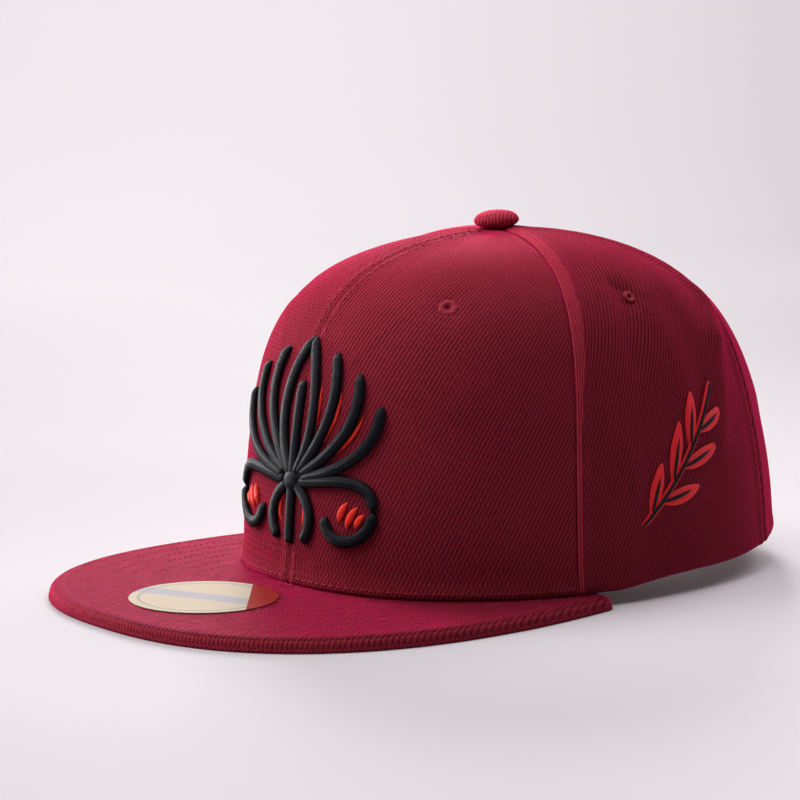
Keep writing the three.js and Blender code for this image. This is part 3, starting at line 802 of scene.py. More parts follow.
# %% [markdown]
# ## The brim
# A flat brim is a stiff board covered in the same twill and sewn through in rings that keep their
# distance from its edge. Seen this low, the rings and the rolled edge matter more than the weave
# on top. So the top is laid out in rings at exact distances from the outline, with extra rings at
# each line of stitches, and the narrow edge gets real ribs. The weave on top is left to the bump.

# %% Outline of the brim
BRIM_HALF_WIDTH, BRIM_WIDEST, BRIM_NOSE_POWER = 88.0, 74.2, 2.457
BRIM_END_HALF_WIDTH, BRIM_END_CORNER, BRIM_UNDERLAP = 84.0, 5.0, 6.0
BRIM_RAYS = 420


def brim_outline():
    """The outer edge from the right end round the nose to the left end, evenly spaced."""
    turn, power = np.linspace(0, np.pi / 2, 240), 2 / BRIM_NOSE_POWER
    nose = np.stack([BRIM_HALF_WIDTH * np.sin(turn) ** power,
                     -BRIM_WIDEST - (BRIM_TIP - BRIM_WIDEST) * np.cos(turn) ** power], 1)
    share = np.linspace(0, 1, 60)[1:]
    corner_start = BRIM_END + BRIM_END_CORNER
    side = np.stack([BRIM_HALF_WIDTH - (BRIM_HALF_WIDTH - BRIM_END_HALF_WIDTH) * share ** 1.6,
                     -(BRIM_WIDEST + (corner_start - BRIM_WIDEST) * share)], 1)
    turn = np.linspace(0, np.pi / 2, 14)[1:]
    corner = np.stack([BRIM_END_HALF_WIDTH - BRIM_END_CORNER * (1 - np.cos(turn)),
                       -corner_start + BRIM_END_CORNER * np.sin(turn)], 1)
    half = np.vstack([nose, side, corner])
    return np.vstack([half[::-1] * (-1, 1), half[1:]])


def along_line(line, shares):
    """Points of a line at shares of its whole length."""
    lengths = np.r_[0, np.cumsum(np.linalg.norm(np.diff(line, axis=0), axis=1))]
    wanted = np.asarray(shares) * lengths[-1]
    return np.stack([np.interp(wanted, lengths, line[:, axis]) for axis in range(line.shape[1])], 1)


def brim_inner(shares):
    """Points under the crown's wall, one for each share of the way round the brim."""
    scale = 1 - BRIM_UNDERLAP / RIM_HALF_WIDTH
    first = -math.asin(BRIM_END / RIM_HALF_LENGTH)
    angle = (-math.pi - first) + (math.pi + 2 * first) * np.asarray(shares)
    x = scale * RIM_HALF_WIDTH * signed_power(np.cos(angle), 2 / PLAN_POWER_AT_RIM)
    y = scale * RIM_HALF_LENGTH * signed_power(np.sin(angle), 2 / PLAN_POWER_AT_RIM)
    return np.stack([x, np.minimum(y, -BRIM_END)], 1)


outline = brim_outline()
outline_length = np.linalg.norm(np.diff(outline, axis=0), axis=1).sum()
brim_shares = np.linspace(0, 1, BRIM_RAYS)
outer_line = along_line(outline, brim_shares)
inner_line = brim_inner(brim_shares)
print("brim outline", round(float(outline_length)), "mm long")

# %% Rings at exact distances from the edge
STITCH_RING_FIRST, STITCH_RING_GAP, STITCH_RINGS = 5.0, 7.0, 11
ROLL_RINGS = [0, 0.25, 0.6, 1.0, 1.5, 2.2, 3.2]
BESIDE_STITCHES = (-1.0, -0.5, 0, 0.5, 1.0, 3.0)
dense_outline = along_line(outline, np.linspace(0, 1, 900))


def distance_to_edge(points):
    """Distance in plan from each point to the outline, worked out in parts to save memory."""
    flat = points.reshape(-1, 2)
    nearest = np.full(len(flat), 1e9)
    for start in range(0, len(flat), 4000):
        part = flat[start:start + 4000]
        gap = part[:, None, :] - dense_outline[None, :, :]
        nearest[start:start + 4000] = np.sqrt((gap ** 2).sum(2).min(1))
    return nearest.reshape(points.shape[:-1])


ray_steps = np.linspace(0, 1, 90)
rays = outer_line[:, None, :] + (inner_line - outer_line)[:, None, :] * ray_steps[None, :, None]
ray_distances = np.maximum.accumulate(distance_to_edge(rays), axis=1)
ring_centres = STITCH_RING_FIRST + STITCH_RING_GAP * np.arange(STITCH_RINGS)
ring_distances = np.unique(np.round(np.concatenate(
    [ROLL_RINGS] + [ring_centres + step for step in BESIDE_STITCHES]), 3))
print(len(ring_distances), "rings, with stitches at", ring_centres, "mm")

# %% Height of the brim's top
EDGE_ROLL, RING_GROOVE, RING_GROOVE_WIDTH, BRIM_SWELL = 3.0, 0.05, 0.7, 0.10


def brim_top_height(points, edge_distance):
    """Flat, with a rolled edge and ends, a groove at each ring and a slow swell."""
    ends = np.minimum(edge_distance, -BRIM_END - points[..., 1] + 0.02)
    roll = EDGE_ROLL * (1 - np.sqrt(np.clip(1 - (1 - np.clip(ends / EDGE_ROLL, 0, 1)) ** 2, 0, 1)))
    height = BRIM_THICKNESS - roll
    for centre in ring_centres:
        height = height - RING_GROOVE * np.exp(
            -((edge_distance - centre) / RING_GROOVE_WIDTH) ** 2)
    swell = BRIM_SWELL * np.sin(points[..., 0] / 19.0 + 1.0) * np.sin(points[..., 1] / 23.0)
    return height + swell * smooth_step(edge_distance, 2, 12)


print("the brim is", round(float(brim_top_height(np.array([0.0, -150.0]), 30.0)), 2), "mm thick")

# %% Build the brim
EDGE_COLUMNS, EDGE_ROWS = 1700, 9
EDGE_RIB, EDGE_RIB_LEAN, EDGE_BELLY = 0.17, 0.9, 0.3
BRIM_SOLE = 0.02


def build_brim():
    """Top, underside, ribbed edge band, inner wall and two straight ends, closed into one sheet."""
    vertices, uv, numbers, places = [], [], [], []

    def add(points, mapping):
        start = len(vertices)
        vertices.extend(points)
        uv.extend(mapping)
        return list(range(start, start + len(points)))

    def flat_uv(plan):
        turned = plan @ np.array([[math.sin(RIB_ANGLE), -math.cos(RIB_ANGLE)],
                                  [math.cos(RIB_ANGLE), math.sin(RIB_ANGLE)]])
        return turned / (RIB_SPACING, 1)

    for ray, distance in zip(rays, ray_distances):
        marks = np.r_[ring_distances[ring_distances < distance[-1] - 0.3], distance[-1]]
        share = np.interp(marks, distance, ray_steps)
        plan = ray[0] + (ray[-1] - ray[0]) * share[:, None]
        height = brim_top_height(plan, marks)
        numbers.append(add(np.column_stack([plan, height]), flat_uv(plan)))
        places.append(marks)
    faces = []
    for i in range(len(numbers) - 1):
        faces += zip_rows(numbers[i], places[i], numbers[i + 1], places[i + 1])
    under_steps = np.linspace(0, 1, 10)
    under = []
    for ray in rays:
        plan = ray[0] + (ray[-1] - ray[0]) * under_steps[:, None]
        under.append(add(np.column_stack([plan, np.full(len(plan), BRIM_SOLE)]), flat_uv(plan)))
    for i in range(len(under) - 1):
        faces += [t[::-1] for t in zip_rows(under[i], under_steps, under[i + 1], under_steps)]
    edge_shares = np.linspace(0, 1, EDGE_COLUMNS)
    edge_line = along_line(outline, edge_shares)
    tangent = np.gradient(edge_line, axis=0)
    outward = np.stack([tangent[:, 1], -tangent[:, 0]], 1)
    outward /= np.linalg.norm(outward, axis=1)[:, None]
    band = []
    for rise in np.linspace(0, 1, EDGE_ROWS)[1:-1]:
        height = BRIM_SOLE + (BRIM_THICKNESS - EDGE_ROLL - BRIM_SOLE) * rise
        phase = (edge_shares * outline_length - EDGE_RIB_LEAN * height) / RIB_SPACING
        ribs = EDGE_RIB * (np.abs(np.sin(np.pi * phase)) ** 0.8 - 0.4)
        belly = EDGE_BELLY * math.sin(math.pi * min(1, rise * 1.15)) ** 0.7
        plan = edge_line + outward * (belly + ribs)[:, None]
        band.append(add(np.column_stack([plan, np.full(len(plan), height)]),
                        np.column_stack([phase, np.full(len(plan), height)])))
    top_ring, low_ring = [n[0] for n in numbers], [n[0] for n in under]
    faces += [t[::-1] for t in zip_rows(top_ring, brim_shares, band[-1], edge_shares)]
    faces += zip_rows(low_ring, brim_shares, band[0], edge_shares)
    for row in range(len(band) - 1):
        faces += [t[::-1] for t in zip_rows(band[row + 1], edge_shares, band[row], edge_shares)]
    inner_top, inner_low = [n[-1] for n in numbers], [n[-1] for n in under]
    faces += zip_rows(inner_top, brim_shares, inner_low, brim_shares)
    for end in (0, -1):
        loop = numbers[end] + under[end][::-1] + [b[end] for b in band]
        faces.append(tuple(loop if end == 0 else loop[::-1]))
    made = new_mesh_object("brim_board", to_frame(vertices), faces)
    lay_uv(made.data, np.array(uv))
    made.data.set_sharp_from_angle(angle=math.radians(65))
    return made


brim = dress(build_brim(), "burgundy_twill", brim_twill, "brim")
# The steep edge faces get the crown's lighter copy of the twill: painted light, against the painted
# shade of the brim's top.
brim.data.materials.append(crown_twill)
STEEP = 0.8
for polygon in brim.data.polygons:
    if abs(polygon.normal.z) < STEEP:
        polygon.material_index = 1
print(brim.name, len(brim.data.polygons), "faces")

# %% [markdown]
# ## Stitches
# Topstitching is a row of short threads that dive into the cloth at both ends. One small spindle
# of six sides stands for each of them. A row is made by walking along a path in equal steps and
# laying a spindle on each step, so that the same helper serves the front seam, the hem and the
# rings on the brim.

# %% A helper that lays stitches along a path
STITCH_SIDES, STITCH_LOOPS, STITCH_STEPS = 6, 5, 4


def resample(points, spacing):
    """Rows of numbers at equal steps along the path that their first three numbers make."""
    lengths = np.r_[0, np.cumsum(np.linalg.norm(np.diff(points[:, :3], axis=0), axis=1))]
    wanted = np.arange(0, lengths[-1], spacing)
    return np.stack([np.interp(wanted, lengths, points[:, k]) for k in range(points.shape[1])], 1)


def add_stitches(points, normals, vertices, faces, length, gap, radius):
    """One spindle for each step along the path. Its middle stands proud and its ends are sunk."""
    path = resample(np.hstack([points, normals]), (length + gap) / STITCH_STEPS)
    for start in range(0, len(path) - STITCH_STEPS, STITCH_STEPS):
        first, last = path[start, :3], path[start + 3, :3]
        normal = path[start + 1, 3:] / np.linalg.norm(path[start + 1, 3:])
        ahead = last - first
        ahead = ahead / np.linalg.norm(ahead)
        side = np.cross(ahead, normal)
        base = len(vertices)
        for share in np.linspace(0, 1, STITCH_LOOPS):
            swell = math.sin(math.pi * (0.12 + 0.76 * share))
            centre = first + ahead * length * share + normal * radius * (1.5 * swell - 0.95)
            for corner in range(STITCH_SIDES):
                turn = 2 * math.pi * corner / STITCH_SIDES
                vertices.append(centre + radius * swell * (
                    1.15 * math.cos(turn) * side + 0.8 * math.sin(turn) * normal))
        for loop in range(STITCH_LOOPS - 1):
            for corner in range(STITCH_SIDES):
                after = (corner + 1) % STITCH_SIDES
                a, b = base + loop * STITCH_SIDES + corner, base + loop * STITCH_SIDES + after
                faces.append((a, b, b + STITCH_SIDES, a + STITCH_SIDES))
        faces.append(tuple(base + c for c in reversed(range(STITCH_SIDES))))
        end = base + (STITCH_LOOPS - 1) * STITCH_SIDES
        faces.append(tuple(end + c for c in range(STITCH_SIDES)))


FACES_IN_STITCH = STITCH_SIDES * (STITCH_LOOPS - 1) + 2
print("each stitch has", FACES_IN_STITCH, "faces")

# %% Thread, and a piece made of rows of stitches
def thread_material(name, colour, roughness, sheen, thread_bump=0.5, gloss=0.1):
    material, tree, shader = new_material(name)
    coordinates = tree.nodes.new("ShaderNodeTexCoord")
    split = tree.nodes.new("ShaderNodeSeparateXYZ")
    tree.links.new(coordinates.outputs["UV"], split.inputs[0])
    strand = ridges(tree, math_node(tree, "MULTIPLY", split.outputs["X"], math.pi))
    fibre = noise_value(tree, coordinates.outputs["Object"], 1800, 3.0)
    cloud = noise_value(tree, coordinates.outputs["Object"], 120, 2.0)
    # The colour is darker in the grooves between strands, painted shade there, and also varies at
    # random with the fibre and cloud noise.
    shade = math_node(tree, "MULTIPLY_ADD", strand, 0.45, math_node(
        tree, "MULTIPLY_ADD", fibre, 0.5, math_node(tree, "MULTIPLY", cloud, 0.25)))
    dark = [c * 0.5 for c in colour] + [1]
    light = [min(1.0, c * 1.35) for c in colour] + [1]
    tree.links.new(mix_colours(tree, shade, dark, light), shader.inputs["Base Color"])
    shader.inputs["Roughness"].default_value = roughness
    shader.inputs["Sheen Weight"].default_value = sheen
    shader.inputs["Sheen Roughness"].default_value = 0.35
    shader.inputs["Sheen Tint"].default_value = [min(1.0, 0.06 + 3 * c) for c in colour] + [1]
    shader.inputs["Specular IOR Level"].default_value = gloss
    height = math_node(tree, "ADD", strand, math_node(tree, "MULTIPLY", fibre, 0.4))
    add_bump(tree, shader, height, thread_bump, 0.00012)
    return material


seam_thread = thread_material("seam_thread", (0.27, 0.018, 0.038), roughness=0.6, sheen=0.6)
brim_thread = thread_material("brim_thread", (0.33, 0.035, 0.065), roughness=0.6, sheen=0.8)


def stitch_piece(name, paths, length=2.5, gap=0.75, radius=0.22, thread=seam_thread):
    vertices, faces = [], []
    for points, normals in paths:
        add_stitches(points, normals, vertices, faces, length, gap, radius)
    made = new_mesh_object(name, to_frame(vertices), faces)
    lay_uv(made.data, np.array([[v[0] * 1.2, v[2]] for v in vertices]))
    dress(made, "burgundy_twill", thread)
    print(name, len(faces) // FACES_IN_STITCH, "stitches")
    return made


# %% Rows of stitches beside the front seam and above the hem
SEAM_ROW_DISTANCE, SEAM_ROW_START, HEM_ROW_HEIGHT, HEM_ROW_END = 2.5, 1.5, 2.2, 0.8
BETWEEN_RIBS = 0.35


def relief_path(panel, shares, climbs, across, up, left, right, hem):
    angle = panel.angle(shares, climbs)
    points, normals = crown_points(angle, climbs), crown_normals(angle, climbs)
    phase = np.full(len(shares), BETWEEN_RIBS)
    relief = cloth_relief(panel, points, phase, across, up, left, right, hem)
    return points + normals * relief[:, None], normals


def seam_row(panel, at_start, distance):
    """Up one edge of a panel, at a distance from the seam, from a little above the hem."""
    parts = []
    for row in range(1, PANEL_ROWS - 3):
        reach = distance if at_start else panel.width[row, -1] - distance
        share = float(np.interp(reach, panel.width[row], panel.shares))
        values = panel_lengths(panel, row, np.array([share]))
        parts.append([share, float(np.interp(share, panel.shares, panel.climbs[row]))]
                     + [float(v[0]) for v in values])
    table = np.array(parts)
    table = table[table[:, 6] > SEAM_ROW_START]
    return relief_path(panel, table[:, 0], table[:, 1], *table[:, 2:].T)


def hem_row(panel, height):
    """Along the hem of a panel at a height above it, stopping just short of both seams."""
    parts = []
    for column in range(PANEL_COLUMNS):
        up = panel.up[0, column] + height
        climb = np.interp(up, panel.up[:, column], panel.climbs[:, column])
        across = np.interp(up, panel.up[:, column], panel.across[:, column])
        start = np.interp(up, panel.up[:, column], panel.across[:, 0])
        end = np.interp(up, panel.up[:, column], panel.across[:, -1])
        parts.append([panel.shares[column], climb, across, up,
                      across - start, end - across, height])
    table = np.array(parts)
    table = table[(table[:, 4] > HEM_ROW_END) & (table[:, 5] > HEM_ROW_END)]
    return relief_path(panel, table[:, 0], table[:, 1], *table[:, 2:].T)


by_name = {panel.name: panel for panel in panels}
front_panels = [by_name["panel_front_left"], by_name["panel_front_right"]]
stitch_piece("stitches_front_seam", [
    seam_row(front_panels[0], True, SEAM_ROW_DISTANCE),
    seam_row(front_panels[1], False, SEAM_ROW_DISTANCE)])
stitch_piece("stitches_hem", [hem_row(panel, HEM_ROW_HEIGHT) for panel in front_panels],
             length=2.2, gap=0.9, radius=0.18)

# %% Rings of stitches on the brim
def brim_ring(distance):
    """The part of a ring on the brim that is ahead of the crown's wall."""
    points, wall_room, end_room = [], BRIM_UNDERLAP + 1.5, 2
    for ray, along in zip(rays, ray_distances):
        share = np.interp(distance, along, ray_steps)
        plan = ray[0] + (ray[-1] - ray[0]) * share
        if along[-1] - distance > wall_room and -BRIM_END - plan[1] > end_room:
            points.append(plan)
    plan = np.array(points)
    height = brim_top_height(plan, np.full(len(plan), distance))
    return np.column_stack([plan, height + 0.05]), np.tile([0.0, 0.0, 1.0], (len(plan), 1))


stitch_piece("stitches_brim", [brim_ring(distance) for distance in ring_centres],
             length=1.5, gap=1.3, radius=0.15, thread=brim_thread)

# %% [markdown]
# ## Eyelets and button
# An eyelet in a cap is a hole bound with thread, pulled tight so that the cloth dimples round it.
# It is turned on a lathe with one small ridge for each thread. The button is a pressed dome
# covered with the same twill, whose ribs bend over its shoulders, so they are cut from straight
# lines in plan; its twill is a lighter copy, painted light on the top of the crown. The eyelets at
# the sides and the back show a dark hole, whose dark bottom is painted shade where the inside of
# the crown would lie in shadow. Those on the stiff front are sewn shut.

# %% A small lathe, and a seat on the crown
def lathe(profile, segments, shape=None):
    """Vertices and faces of a profile of (radius, height) turned about Z."""
    turns = np.linspace(0, 2 * np.pi, segments, endpoint=False)
    vertices = [(0.0, 0.0, profile[0][1])]
    rows = []
    for row, (radius, height) in enumerate(profile[1:-1], 1):
        start = len(vertices)
        rows.append(start)
        for turn in turns:
            r, h = (radius, height) if shape is None else shape(radius, height, turn, row)
            vertices.append((r * math.cos(turn), r * math.sin(turn), h))
    vertices.append((0.0, 0.0, profile[-1][1]))
    faces = []
    for first, second in zip(rows, rows[1:]):
        for k in range(segments):
            after = (k + 1) % segments
            faces.append((first + k, first + after, second + after, second + k))
    faces += [(0, rows[0] + (k + 1) % segments, rows[0] + k) for k in range(segments)]
    top = len(vertices) - 1
    faces += [(top, rows[-1] + k, rows[-1] + (k + 1) % segments) for k in range(segments)]
    return np.array(vertices), faces


def seat_on_crown(vertices, angle, climb, lift, side=1):
    """Stand a piece on the crown, along its normal. Side -1 mirrors it to the other side."""
    normal = crown_normals(np.array(angle), np.array(climb))
    turn = Vector((0, 0, 1)).rotation_difference(Vector(normal)).to_matrix()
    place = crown_points(np.array(angle), np.array(climb))
    return (vertices @ np.array(turn).T + place + normal * lift) * (side, 1, 1)


print("a square rod from the lathe has",
      len(lathe([(0, 0), (1, 0), (1, 1), (0, 1)], 4)[1]), "faces")

# %% Turn the eyelets
EYELET_THREADS, EYELET_SINK, HOLE_RADIUS = 40, 0.58, 1.25
EYELET_SCALE = {"front": 0.92, "side": 0.62, "back": 0.62}
# Radius and height: the bottom of the hole, up and over the ring, and back under it
EYELET_PROFILE = [(0, -1.0), (0.8, -1.0), (1.0, -0.8), (1.2, -0.35), (1.5, 0.0), (1.9, 0.2),
                  (2.4, 0.27), (2.9, 0.22), (3.3, 0.05), (3.6, -0.2), (3.7, -0.6), (2.9, -1.2),
                  (0, -1.2)]


def eyelet_shape(radius, height, turn, row):
    thread = abs(math.sin(turn * EYELET_THREADS / 2))
    wobble = (0.10 * math.sin(3 * turn + 1) + 0.07 * math.sin(7 * turn + 2.2)
              + 0.05 * math.sin(13 * turn))
    on_ring = 1 if 3 < row < 11 else 0
    return (radius + on_ring * (0.10 * thread + wobble),
            height + on_ring * (0.10 * thread + 0.5 * wobble))


bound_thread = thread_material("bound_thread", (0.25, 0.017, 0.032), roughness=0.7, sheen=0.7)
# The bottom of the hole is a dark disc: painted shade where the inside of the crown lies in shadow.
hole_dark = thread_material("hole_dark", (0.035, 0.004, 0.008), roughness=0.9, sheen=0.0)
for kind, (angle, climb) in EYELET_PLACES.items():
    for side_name, side in (("left", 1), ("right", -1)):
        vertices, faces = lathe(EYELET_PROFILE, EYELET_THREADS * 4, eyelet_shape)
        vertices = vertices * EYELET_SCALE[kind]
        seated = seat_on_crown(vertices, angle, climb, -EYELET_SINK, side)
        if side < 0:
            faces = [f[::-1] for f in faces]
        made = new_mesh_object(f"bound_eyelet_{kind}_{side_name}", to_frame(seated), faces)
        turns = np.arctan2(vertices[:, 1], vertices[:, 0])
        lay_uv(made.data, np.stack([turns * EYELET_THREADS / (2 * np.pi), vertices[:, 2]], 1))
        dress(made, "burgundy_twill", bound_thread, f"eyelet_{kind}_{side_name}")
        made.data.materials.append(hole_dark)
        reach, hole = np.hypot(vertices[:, 0], vertices[:, 1]), HOLE_RADIUS * EYELET_SCALE[kind]
        for polygon in made.data.polygons:
            if kind != "front" and max(reach[v] for v in polygon.vertices) < hole:
                polygon.material_index = 1
print("eyelets bound with", EYELET_THREADS, "threads each")

# %% Press and cover the button
BUTTON_RADIUS, BUTTON_HEIGHT, BUTTON_SHOULDER = 8.1, 6.4, 2.7
BUTTON_RIB, BUTTON_RIB_RELIEF, BUTTON_SLANT = 1.25, 0.20, math.radians(38)


def build_button():
    """A turned dome with straight slanted ribs, which lean outwards down its shoulders."""
    profile = [(0.0, 0.25)]
    for turn in np.linspace(-0.42, 0.5, 34) * math.pi:
        rise = BUTTON_HEIGHT - BUTTON_SHOULDER if turn > 0 else BUTTON_SHOULDER
        profile.append((BUTTON_RADIUS * math.cos(turn) ** 0.86,
                        BUTTON_SHOULDER + rise * math.copysign(abs(math.sin(turn)) ** 0.95, turn)))
    profile[-1] = (0.0, BUTTON_HEIGHT)
    vertices, faces = lathe(profile, 220)
    over = vertices[:, 0] * math.cos(BUTTON_SLANT) + vertices[:, 1] * math.sin(BUTTON_SLANT)
    phase = (over + 0.10 * (vertices[:, 2] - 3) * np.sign(over)) / BUTTON_RIB
    outward = vertices - (0, 0, 1.5)
    outward /= np.linalg.norm(outward, axis=1)[:, None]
    ribs = BUTTON_RIB_RELIEF * (np.abs(np.sin(np.pi * phase)) ** 0.8 - 0.8)
    vertices = vertices + outward * ribs[:, None]
    along = -vertices[:, 0] * math.sin(BUTTON_SLANT) + vertices[:, 1] * math.cos(BUTTON_SLANT)
    normal = crown_normals(np.array(-math.pi / 2), np.array(math.pi / 2 - 0.02))
    turn = Vector((0, 0, 1)).rotation_difference(Vector(normal)).to_matrix()
    made = new_mesh_object("covered_button", to_frame(
        vertices @ np.array(turn).T + crown_apex + (0, 0, TOUCH_GAP)), faces)
    lay_uv(made.data, np.stack([phase, along], 1))
    return made


# The button's twill is the lighter copy: painted light on the top of the crown.
button = dress(build_button(), "burgundy_twill", button_twill, "top_button")
print("button", [round(v * 1000, 1) for v in button.dimensions], "mm")

# %% [markdown]
# ## Raised embroidery
# The ornament on the front is satin stitch over foam: threads lie side by side across a swollen
# bar. Each bar is a tube along a curve on the wall, with an oval section and one fine ridge for
# every thread. The curves are drawn in the front view and then dropped onto the crown, as an
# embroidery machine works on a hooped panel. Both ends draw in, where the threads get shorter.

# %% Curves on the wall
def wall_places(view, spots):
    """Plan angle and climb of spots drawn in a front or side view: across and height in mm."""
    axis, middle = (0, -math.pi / 2) if view == "front" else (1, 0.0)
    across, height = spots[:, 0], spots[:, 1]

    def climb_for(angle):
        return solve(lambda c: crown_points(angle, c)[..., 2], height, 1e-3 + 0 * height, 1.4, 24)

    angle = solve(lambda a: crown_points(a, climb_for(a))[..., axis], across,
                  middle - 1.2 + 0 * across, middle + 1.2, 24)
    return angle, climb_for(angle)


def bezier(points, count=60):
    share = np.linspace(0, 1, count)[:, None]
    a, b, c, d = (np.array(p, float) for p in points)
    return ((1 - share) ** 3 * a + 3 * (1 - share) ** 2 * share * b
            + 3 * (1 - share) * share ** 2 * c + share ** 3 * d)


print("a spot 40 mm up the middle has angle and climb",
      [round(float(v[0]), 3) for v in wall_places("front", np.array([[0.0, 40.0]]))])


# %% Satin bars and a satin dome
def round_ends(share):
    return 0.35 + 0.65 * np.sin(np.pi / 2 * np.minimum(1, np.minimum(share, 1 - share) * 9)) ** 0.7


def leaf_ends(share):
    return 0.12 + 0.88 * np.sin(np.pi * share) ** 0.8


class Embroidery:
    """Satin bars and domes gathered into one piece."""

    def __init__(self):
        self.vertices, self.faces, self.uv = [], [], []
        self.count = 0

    def bar(self, view, spots, half_width, height, ends, lift=-0.15, slant=0.5,
            pitch=0.55, sides=10, ripple=0.13):
        angle, climb = wall_places(view, along_line(spots, np.linspace(0, 1, 40)))
        line = np.hstack([crown_points(angle, climb), crown_normals(angle, climb)])
        line = resample(line, pitch / 4)
        points, normals = line[:, :3], line[:, 3:]
        ahead = np.gradient(points, axis=0)
        across = np.cross(ahead, normals)
        across /= np.linalg.norm(across, axis=1)[:, None]
        share = np.linspace(0, 1, len(points))
        distance = np.arange(len(points)) * pitch / 4
        width = half_width * ends(share)
        rise = height / 2 * np.minimum(1, ends(share) * 1.15)
        turn = (np.arange(sides) + 0.5) * 2 * np.pi / sides
        phase = distance[:, None] / pitch + slant * np.cos(turn)[None, :] * width[:, None] / pitch
        swell = 1 + ripple / half_width * (np.abs(np.sin(np.pi * phase)) - 0.6)
        proud = lift + rise[:, None] * (1 + np.sin(turn)[None, :] * swell)
        aside = width[:, None] * np.cos(turn)[None, :] * swell
        ring = (points[:, None, :] + normals[:, None, :] * proud[..., None]
                + across[:, None, :] * aside[..., None])
        start, rings = self.count, len(points)
        self.vertices.append(ring.reshape(-1, 3))
        self.uv.append(np.stack([phase, np.broadcast_to(turn, phase.shape)], -1).reshape(-1, 2))
        at = start + np.arange(rings * sides).reshape(rings, sides)
        after = np.roll(at, -1, axis=1)
        quads = np.stack([at[:-1], after[:-1], after[1:], at[1:]], -1).reshape(-1, 4)
        self.faces += [tuple(int(v) for v in q) for q in quads]
        self.faces += [tuple(int(v) for v in at[0][::-1]), tuple(int(v) for v in at[-1])]
        self.count += rings * sides

    def dome(self, view, spot, radius, height, lift=0.0, pitch=0.55, segments=72):
        angle, climb = (float(v[0]) for v in wall_places(view, np.array([spot], float)))
        steps = np.linspace(0, np.pi / 2, 7)
        profile = [(radius * math.cos(t), height * math.sin(t)) for t in steps[:-1]]
        profile = [(0.0, -0.2)] + profile + [(0.0, height)]

        def ridged(radius, height, turn, _row):
            thread = abs(math.sin(math.pi * radius * math.cos(turn) / pitch))
            return radius, height + 0.09 * thread

        vertices, faces = lathe(profile, segments, ridged)
        self.vertices.append(seat_on_crown(vertices, angle, climb, lift))
        self.uv.append(vertices[:, :2] / (pitch, 1))
        self.faces += [tuple(v + self.count for v in f) for f in faces]
        self.count += len(vertices)

    def make(self, name):
        """One mesh with all faces turned outwards."""
        made = new_mesh_object(name, to_frame(np.vstack(self.vertices)), self.faces)
        lay_uv(made.data, np.vstack(self.uv))
        work = bmesh.new()
        work.from_mesh(made.data)
        bmesh.ops.recalc_face_normals(work, faces=work.faces)
        work.to_mesh(made.data)
        work.free()
        print(name, len(made.data.polygons), "faces")
        return made


print("satin ends draw in to", [float(ends(0)) for ends in (round_ends, leaf_ends)], "of the width")

# %% The ornament on the front
FRONT_STROKES = [
    ((0, 41), (12, 56), (8, 76), (0, 88)),
    ((2, 42), (13, 54), (21, 68), (13, 84)),
    ((3, 42), (19, 50), (30, 62), (24.5, 78)),
    ((4, 41), (22, 45), (36, 52), (34, 68)),
    ((3, 40), (18, 41), (35, 47), (35, 33)),
    ((35, 33), (35, 20), (17, 19), (17, 30)),
    ((2, 39), (11, 34), (12, 25), (6.5, 20)),
]
MIDDLE_STROKES = [((0, 41), (0, 52), (0, 63), (0, 74)), ((0, 41), (0, 34), (0, 26), (0, 18.5))]
BAR_HALF_WIDTH, BAR_HEIGHT = 2.1, 2.5


def mirrored_points(points, side):
    return [(x * side, z) for x, z in points]


dark_thread = thread_material("dark_thread", (0.0045, 0.0052, 0.0088), roughness=0.5, sheen=0.01,
                              thread_bump=0.9)
ornament = Embroidery()
for stroke in FRONT_STROKES:
    for side in (1, -1):
        ornament.bar("front", bezier(mirrored_points(stroke, side)), BAR_HALF_WIDTH, BAR_HEIGHT,
                     round_ends, slant=0.5 * side)
for stroke in MIDDLE_STROKES:
    ornament.bar("front", bezier(stroke), BAR_HALF_WIDTH, BAR_HEIGHT, round_ends)
ornament.dome("front", (0, 40), radius=4.6, height=2.9)
dress(ornament.make("satin_ornament"), "dark_thread", dark_thread, "front_ornament")

# %% [markdown]
# Three small red strokes sit in each curl, and fine red lines run between the fronds. They are
# lower than the dark bars, because they are sewn without foam.

# %% Red accents of the front ornament
accent_thread = thread_material("accent_thread", (0.80, 0.035, 0.022), roughness=0.45, sheen=0.3,
                                thread_bump=0.7)
CURL_STROKES = [
    ((22.4, 28.4), (22.9, 31.0), (23.9, 33.4), (25.4, 35.6)),
    ((25.5, 26.6), (26.3, 29.6), (27.5, 32.2), (29.3, 34.4)),
    ((28.8, 27.0), (29.6, 29.0), (30.6, 30.8), (31.9, 32.2)),
]
ACCENT_LINES = [
    ((6.5, 52), (9, 58), (10.5, 66), (8.5, 74)),
    ((13, 54), (17, 60), (19.5, 66), (18, 72)),
    ((19, 51), (24, 55), (28, 60), (28, 65)),
    ((5, 35), (7, 31), (7.5, 28), (5, 25)),
]
# Each group of strokes with its half width and height
ACCENTS = [(CURL_STROKES, 1.35, 1.5), (ACCENT_LINES, 0.75, 1.0)]
for side_name, side in (("left", 1), ("right", -1)):
    accent = Embroidery()
    for strokes, half_width, height in ACCENTS:
        for stroke in strokes:
            accent.bar("front", bezier(mirrored_points(stroke, side)), half_width, height,
                       leaf_ends, slant=0.3 * side)
    dress(accent.make(f"satin_accent_{side_name}"), "red_thread", accent_thread,
          f"ornament_accent_{side_name}")

# %% [markdown]
# ## The sprig on the side
# Flat satin leaves lie straight on the cloth, with their threads at a slant to the middle line. A
# dark vein runs on top of each leaf.

# %% Leaves, stem and veins
SPRIG_STEM = ((-14, 25), (0, 35), (16, 50), (27, 71))
